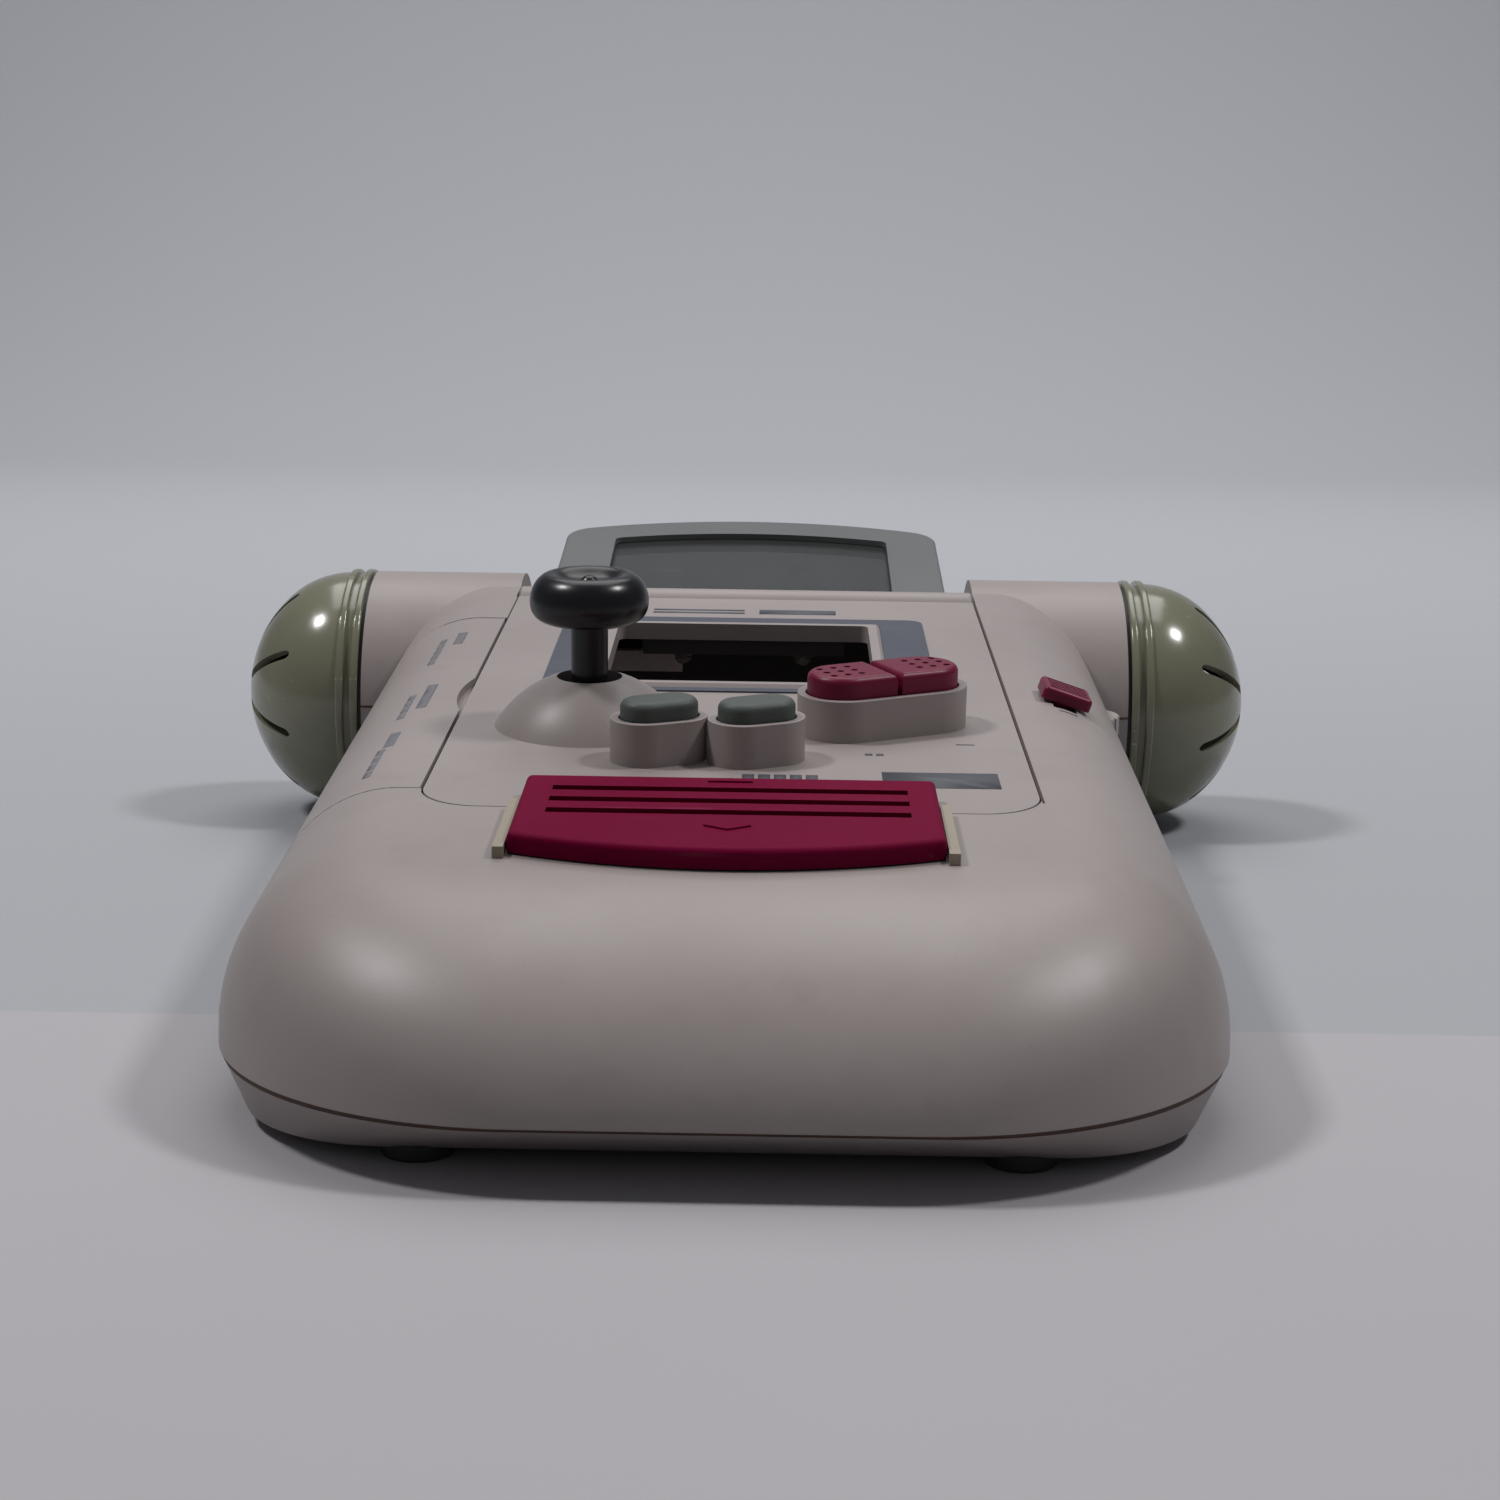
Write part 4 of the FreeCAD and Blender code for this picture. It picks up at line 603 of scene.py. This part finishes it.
class CASE_OT_joystick(bpy.types.Operator):
    """Turn the joystick's cap: a round-edged knob with a dished top and a centre pip"""

    bl_idname = "case.joystick"
    bl_label = "Joystick cap"

    def execute(self, context):
        radius = context.scene.case_sizes.stick_radius
        bm = bmesh.new()
        verts = [
            bm.verts.new((share * radius, 0, CAP_BASE + height * MM)) for share, height in CAP_OUTLINE
        ]
        edges = [bm.edges.new(pair) for pair in zip(verts, verts[1:])]
        bmesh.ops.spin(
            bm, geom=verts + edges, cent=(0, 0, 0), axis=(0, 0, 1), dvec=(0, 0, 0),
            angle=math.tau, steps=40, use_merge=True, use_duplicate=False)
        bmesh.ops.remove_doubles(bm, verts=bm.verts, dist=1e-6)
        bmesh.ops.holes_fill(bm, edges=[edge for edge in bm.edges if edge.is_boundary], sides=0)
        bmesh.ops.recalc_face_normals(bm, faces=bm.faces)
        bmesh.ops.transform(bm, matrix=STICK, verts=bm.verts)
        knob = finished(bm, "stick_knob", "stick", "stick")
        rounding = knob.modifiers.new("Rounding", "SUBSURF")
        rounding.levels = 2
        rounding.render_levels = 2
        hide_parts("joystick_cap")
        return {"FINISHED"}


class CASE_OT_stage(bpy.types.Operator):
    """Set the floor, the backdrop, the lamps and the camera"""

    bl_idname = "case.stage"
    bl_label = "Stage"

    def execute(self, context):
        sizes = context.scene.case_sizes
        tint = context.scene.case_colours
        self.backdrop(tint)
        self.lamps(context)
        self.camera(context, sizes)
        return {"FINISHED"}

    def backdrop(self, tint):
        """A floor that sweeps up into a wall, with a sheet of pale paper under the case."""
        bm = bmesh.new()
        near, far, high, bend, steps, half_width = -2.0, 1.6, 3.0, 0.5, 12, 4
        verts = [bm.verts.new((0, near, 0)), bm.verts.new((0, far - bend, 0))]
        for step in range(1, steps + 1):
            angle = math.pi / 2 * step / steps
            verts.append(bm.verts.new(
                (0, far - bend + bend * math.sin(angle), bend - bend * math.cos(angle))))
        verts.append(bm.verts.new((0, far, high)))
        edges = [bm.edges.new(pair) for pair in zip(verts, verts[1:])]
        bmesh.ops.translate(bm, verts=verts, vec=(-half_width, 0, 0))
        grown = bmesh.ops.extrude_edge_only(bm, edges=edges)
        moved = [item for item in grown["geom"] if isinstance(item, bmesh.types.BMVert)]
        bmesh.ops.translate(bm, verts=moved, vec=(2 * half_width, 0, 0))
        mesh = bpy.data.meshes.new("backdrop")
        bm.to_mesh(mesh)
        bm.free()
        mesh.shade_smooth()
        sweep = bpy.data.objects.new("backdrop", mesh)
        bpy.context.scene.collection.objects.link(sweep)
        mesh.materials.append(self.paper(tint))

    def paper(self, tint):
        """The backdrop's finish: mottled paper, then a wall with painted light that grows paler with distance."""
        material = bpy.data.materials.new("backdrop")
        material.use_nodes = True
        tree = material.node_tree
        shader = tree.nodes["Principled BSDF"]
        where = add(tree, "ShaderNodeTexCoord").outputs["Object"]
        split = add(tree, "ShaderNodeSeparateXYZ")
        tree.links.new(where, split.inputs[0])
        edge = ramp(tree, split.outputs["Y"], *SHEET_EDGE)
        mottle = noise(tree, where, 9.0, 5.0)
        # The wall's two shares are painted shade near the sheet (0.84) and painted light further back (1.45),
        # blended by distance below
        shades = ((tint.table, 0.97), (tint.table, 1), (tint.wall, 0.84), (tint.wall, 1.45))
        table_dark, table, wall_painted_shade, wall_painted_light = (
            (*[channel * share for channel in colour], 1) for colour, share in shades)
        sheet = blended(tree, ramp(tree, mottle, 0.2, 0.8), table_dark, table)
        wall_light_falloff = ramp(tree, split.outputs["Y"], -0.05, 1.3)
        wall = blended(tree, wall_light_falloff, wall_painted_shade, wall_painted_light)
        tree.links.new(blended(tree, edge, sheet, wall), shader.inputs["Base Color"])
        shader.inputs["Roughness"].default_value = 0.75
        shader.inputs["Specular IOR Level"].default_value = 0.2
        return material

    def lamps(self, context):
        """Two small lamps high at the sides, a broad one above and behind, and an even world."""
        aim = Vector((0, -0.05, 0.03))
        spots = [
            ("lamp_left", (-0.70, -0.03, 1.11), 0.17, 6.7),
            ("lamp_right", (0.74, -0.01, 1.11), 0.17, 6.3),
            ("lamp_top", (0.0, 0.66, 1.35), 1.1, 9.0),
        ]
        for name, at, side, power in spots:
            light = bpy.data.lights.new(name, "AREA")
            light.size = side
            light.energy = power
            lamp = bpy.data.objects.new(name, light)
            lamp.location = at
            lamp.rotation_euler = (aim - Vector(at)).to_track_quat("-Z", "Y").to_euler()
            context.scene.collection.objects.link(lamp)
        world = bpy.data.worlds.new("even_light")
        world.use_nodes = True
        sky = world.node_tree.nodes["Background"]
        sky.inputs["Color"].default_value = (0.93, 0.96, 1.0, 1)
        sky.inputs["Strength"].default_value = 0.14
        context.scene.world = world

    def camera(self, context, sizes):
        """The photograph's viewpoint: a low camera in front of the near end."""
        pitch, yaw, roll = (math.radians(angle) for angle in CAMERA_ANGLES)
        flat = math.cos(pitch)
        ahead = Vector((math.sin(yaw) * flat, math.cos(yaw) * flat, -math.sin(pitch)))
        level = Vector((math.cos(yaw), -math.sin(yaw), 0))
        upright = level.cross(ahead)
        right = math.cos(roll) * level + math.sin(roll) * upright
        up = math.cos(roll) * upright - math.sin(roll) * level
        data = bpy.data.cameras.new("camera")
        data.lens = sizes.lens
        data.sensor_width = 36.0
        data.clip_start = 0.01
        data.clip_end = 20.0
        camera = bpy.data.objects.new("camera", data)
        turn = Matrix((right, up, -ahead)).transposed()
        place = Vector((CAMERA_ACROSS, TUBE_AXIS.y - CAMERA_BACK, sizes.camera_height))
        camera.matrix_world = Matrix.Translation(place) @ turn.to_4x4()
        context.scene.collection.objects.link(camera)
        context.scene.camera = camera


class CASE_PT_panel(bpy.types.Panel):
    """Lists the case's operators in the sidebar"""

    bl_idname = "CASE_PT_panel"
    bl_label = "Carrying case"
    bl_space_type = "VIEW_3D"
    bl_region_type = "UI"
    bl_category = "Case"

    def draw(self, context):
        for operator in OPERATORS:
            self.layout.operator(operator.bl_idname)


OPERATORS = (
    CASE_OT_dress,
    CASE_OT_seams,
    CASE_OT_marks,
    CASE_OT_hatch_marks,
    CASE_OT_guides,
    CASE_OT_arrows,
    CASE_OT_joystick,
    CASE_OT_stage,
)
CLASSES = (CaseSizes, CaseColours, *OPERATORS, CASE_PT_panel)


def register():
    for item in CLASSES:
        bpy.utils.register_class(item)
    bpy.types.Scene.case_sizes = bpy.props.PointerProperty(type=CaseSizes)
    bpy.types.Scene.case_colours = bpy.props.PointerProperty(type=CaseColours)


def unregister():
    del bpy.types.Scene.case_colours
    del bpy.types.Scene.case_sizes
    for item in reversed(CLASSES):
        bpy.utils.unregister_class(item)


def main():
    register()
    bpy.context.scene.view_settings.view_transform = "Standard"
    for operator in OPERATORS:
        group, action = operator.bl_idname.split(".")
        getattr(getattr(bpy.ops, group), action)()


if __name__ == "__main__":
    main()
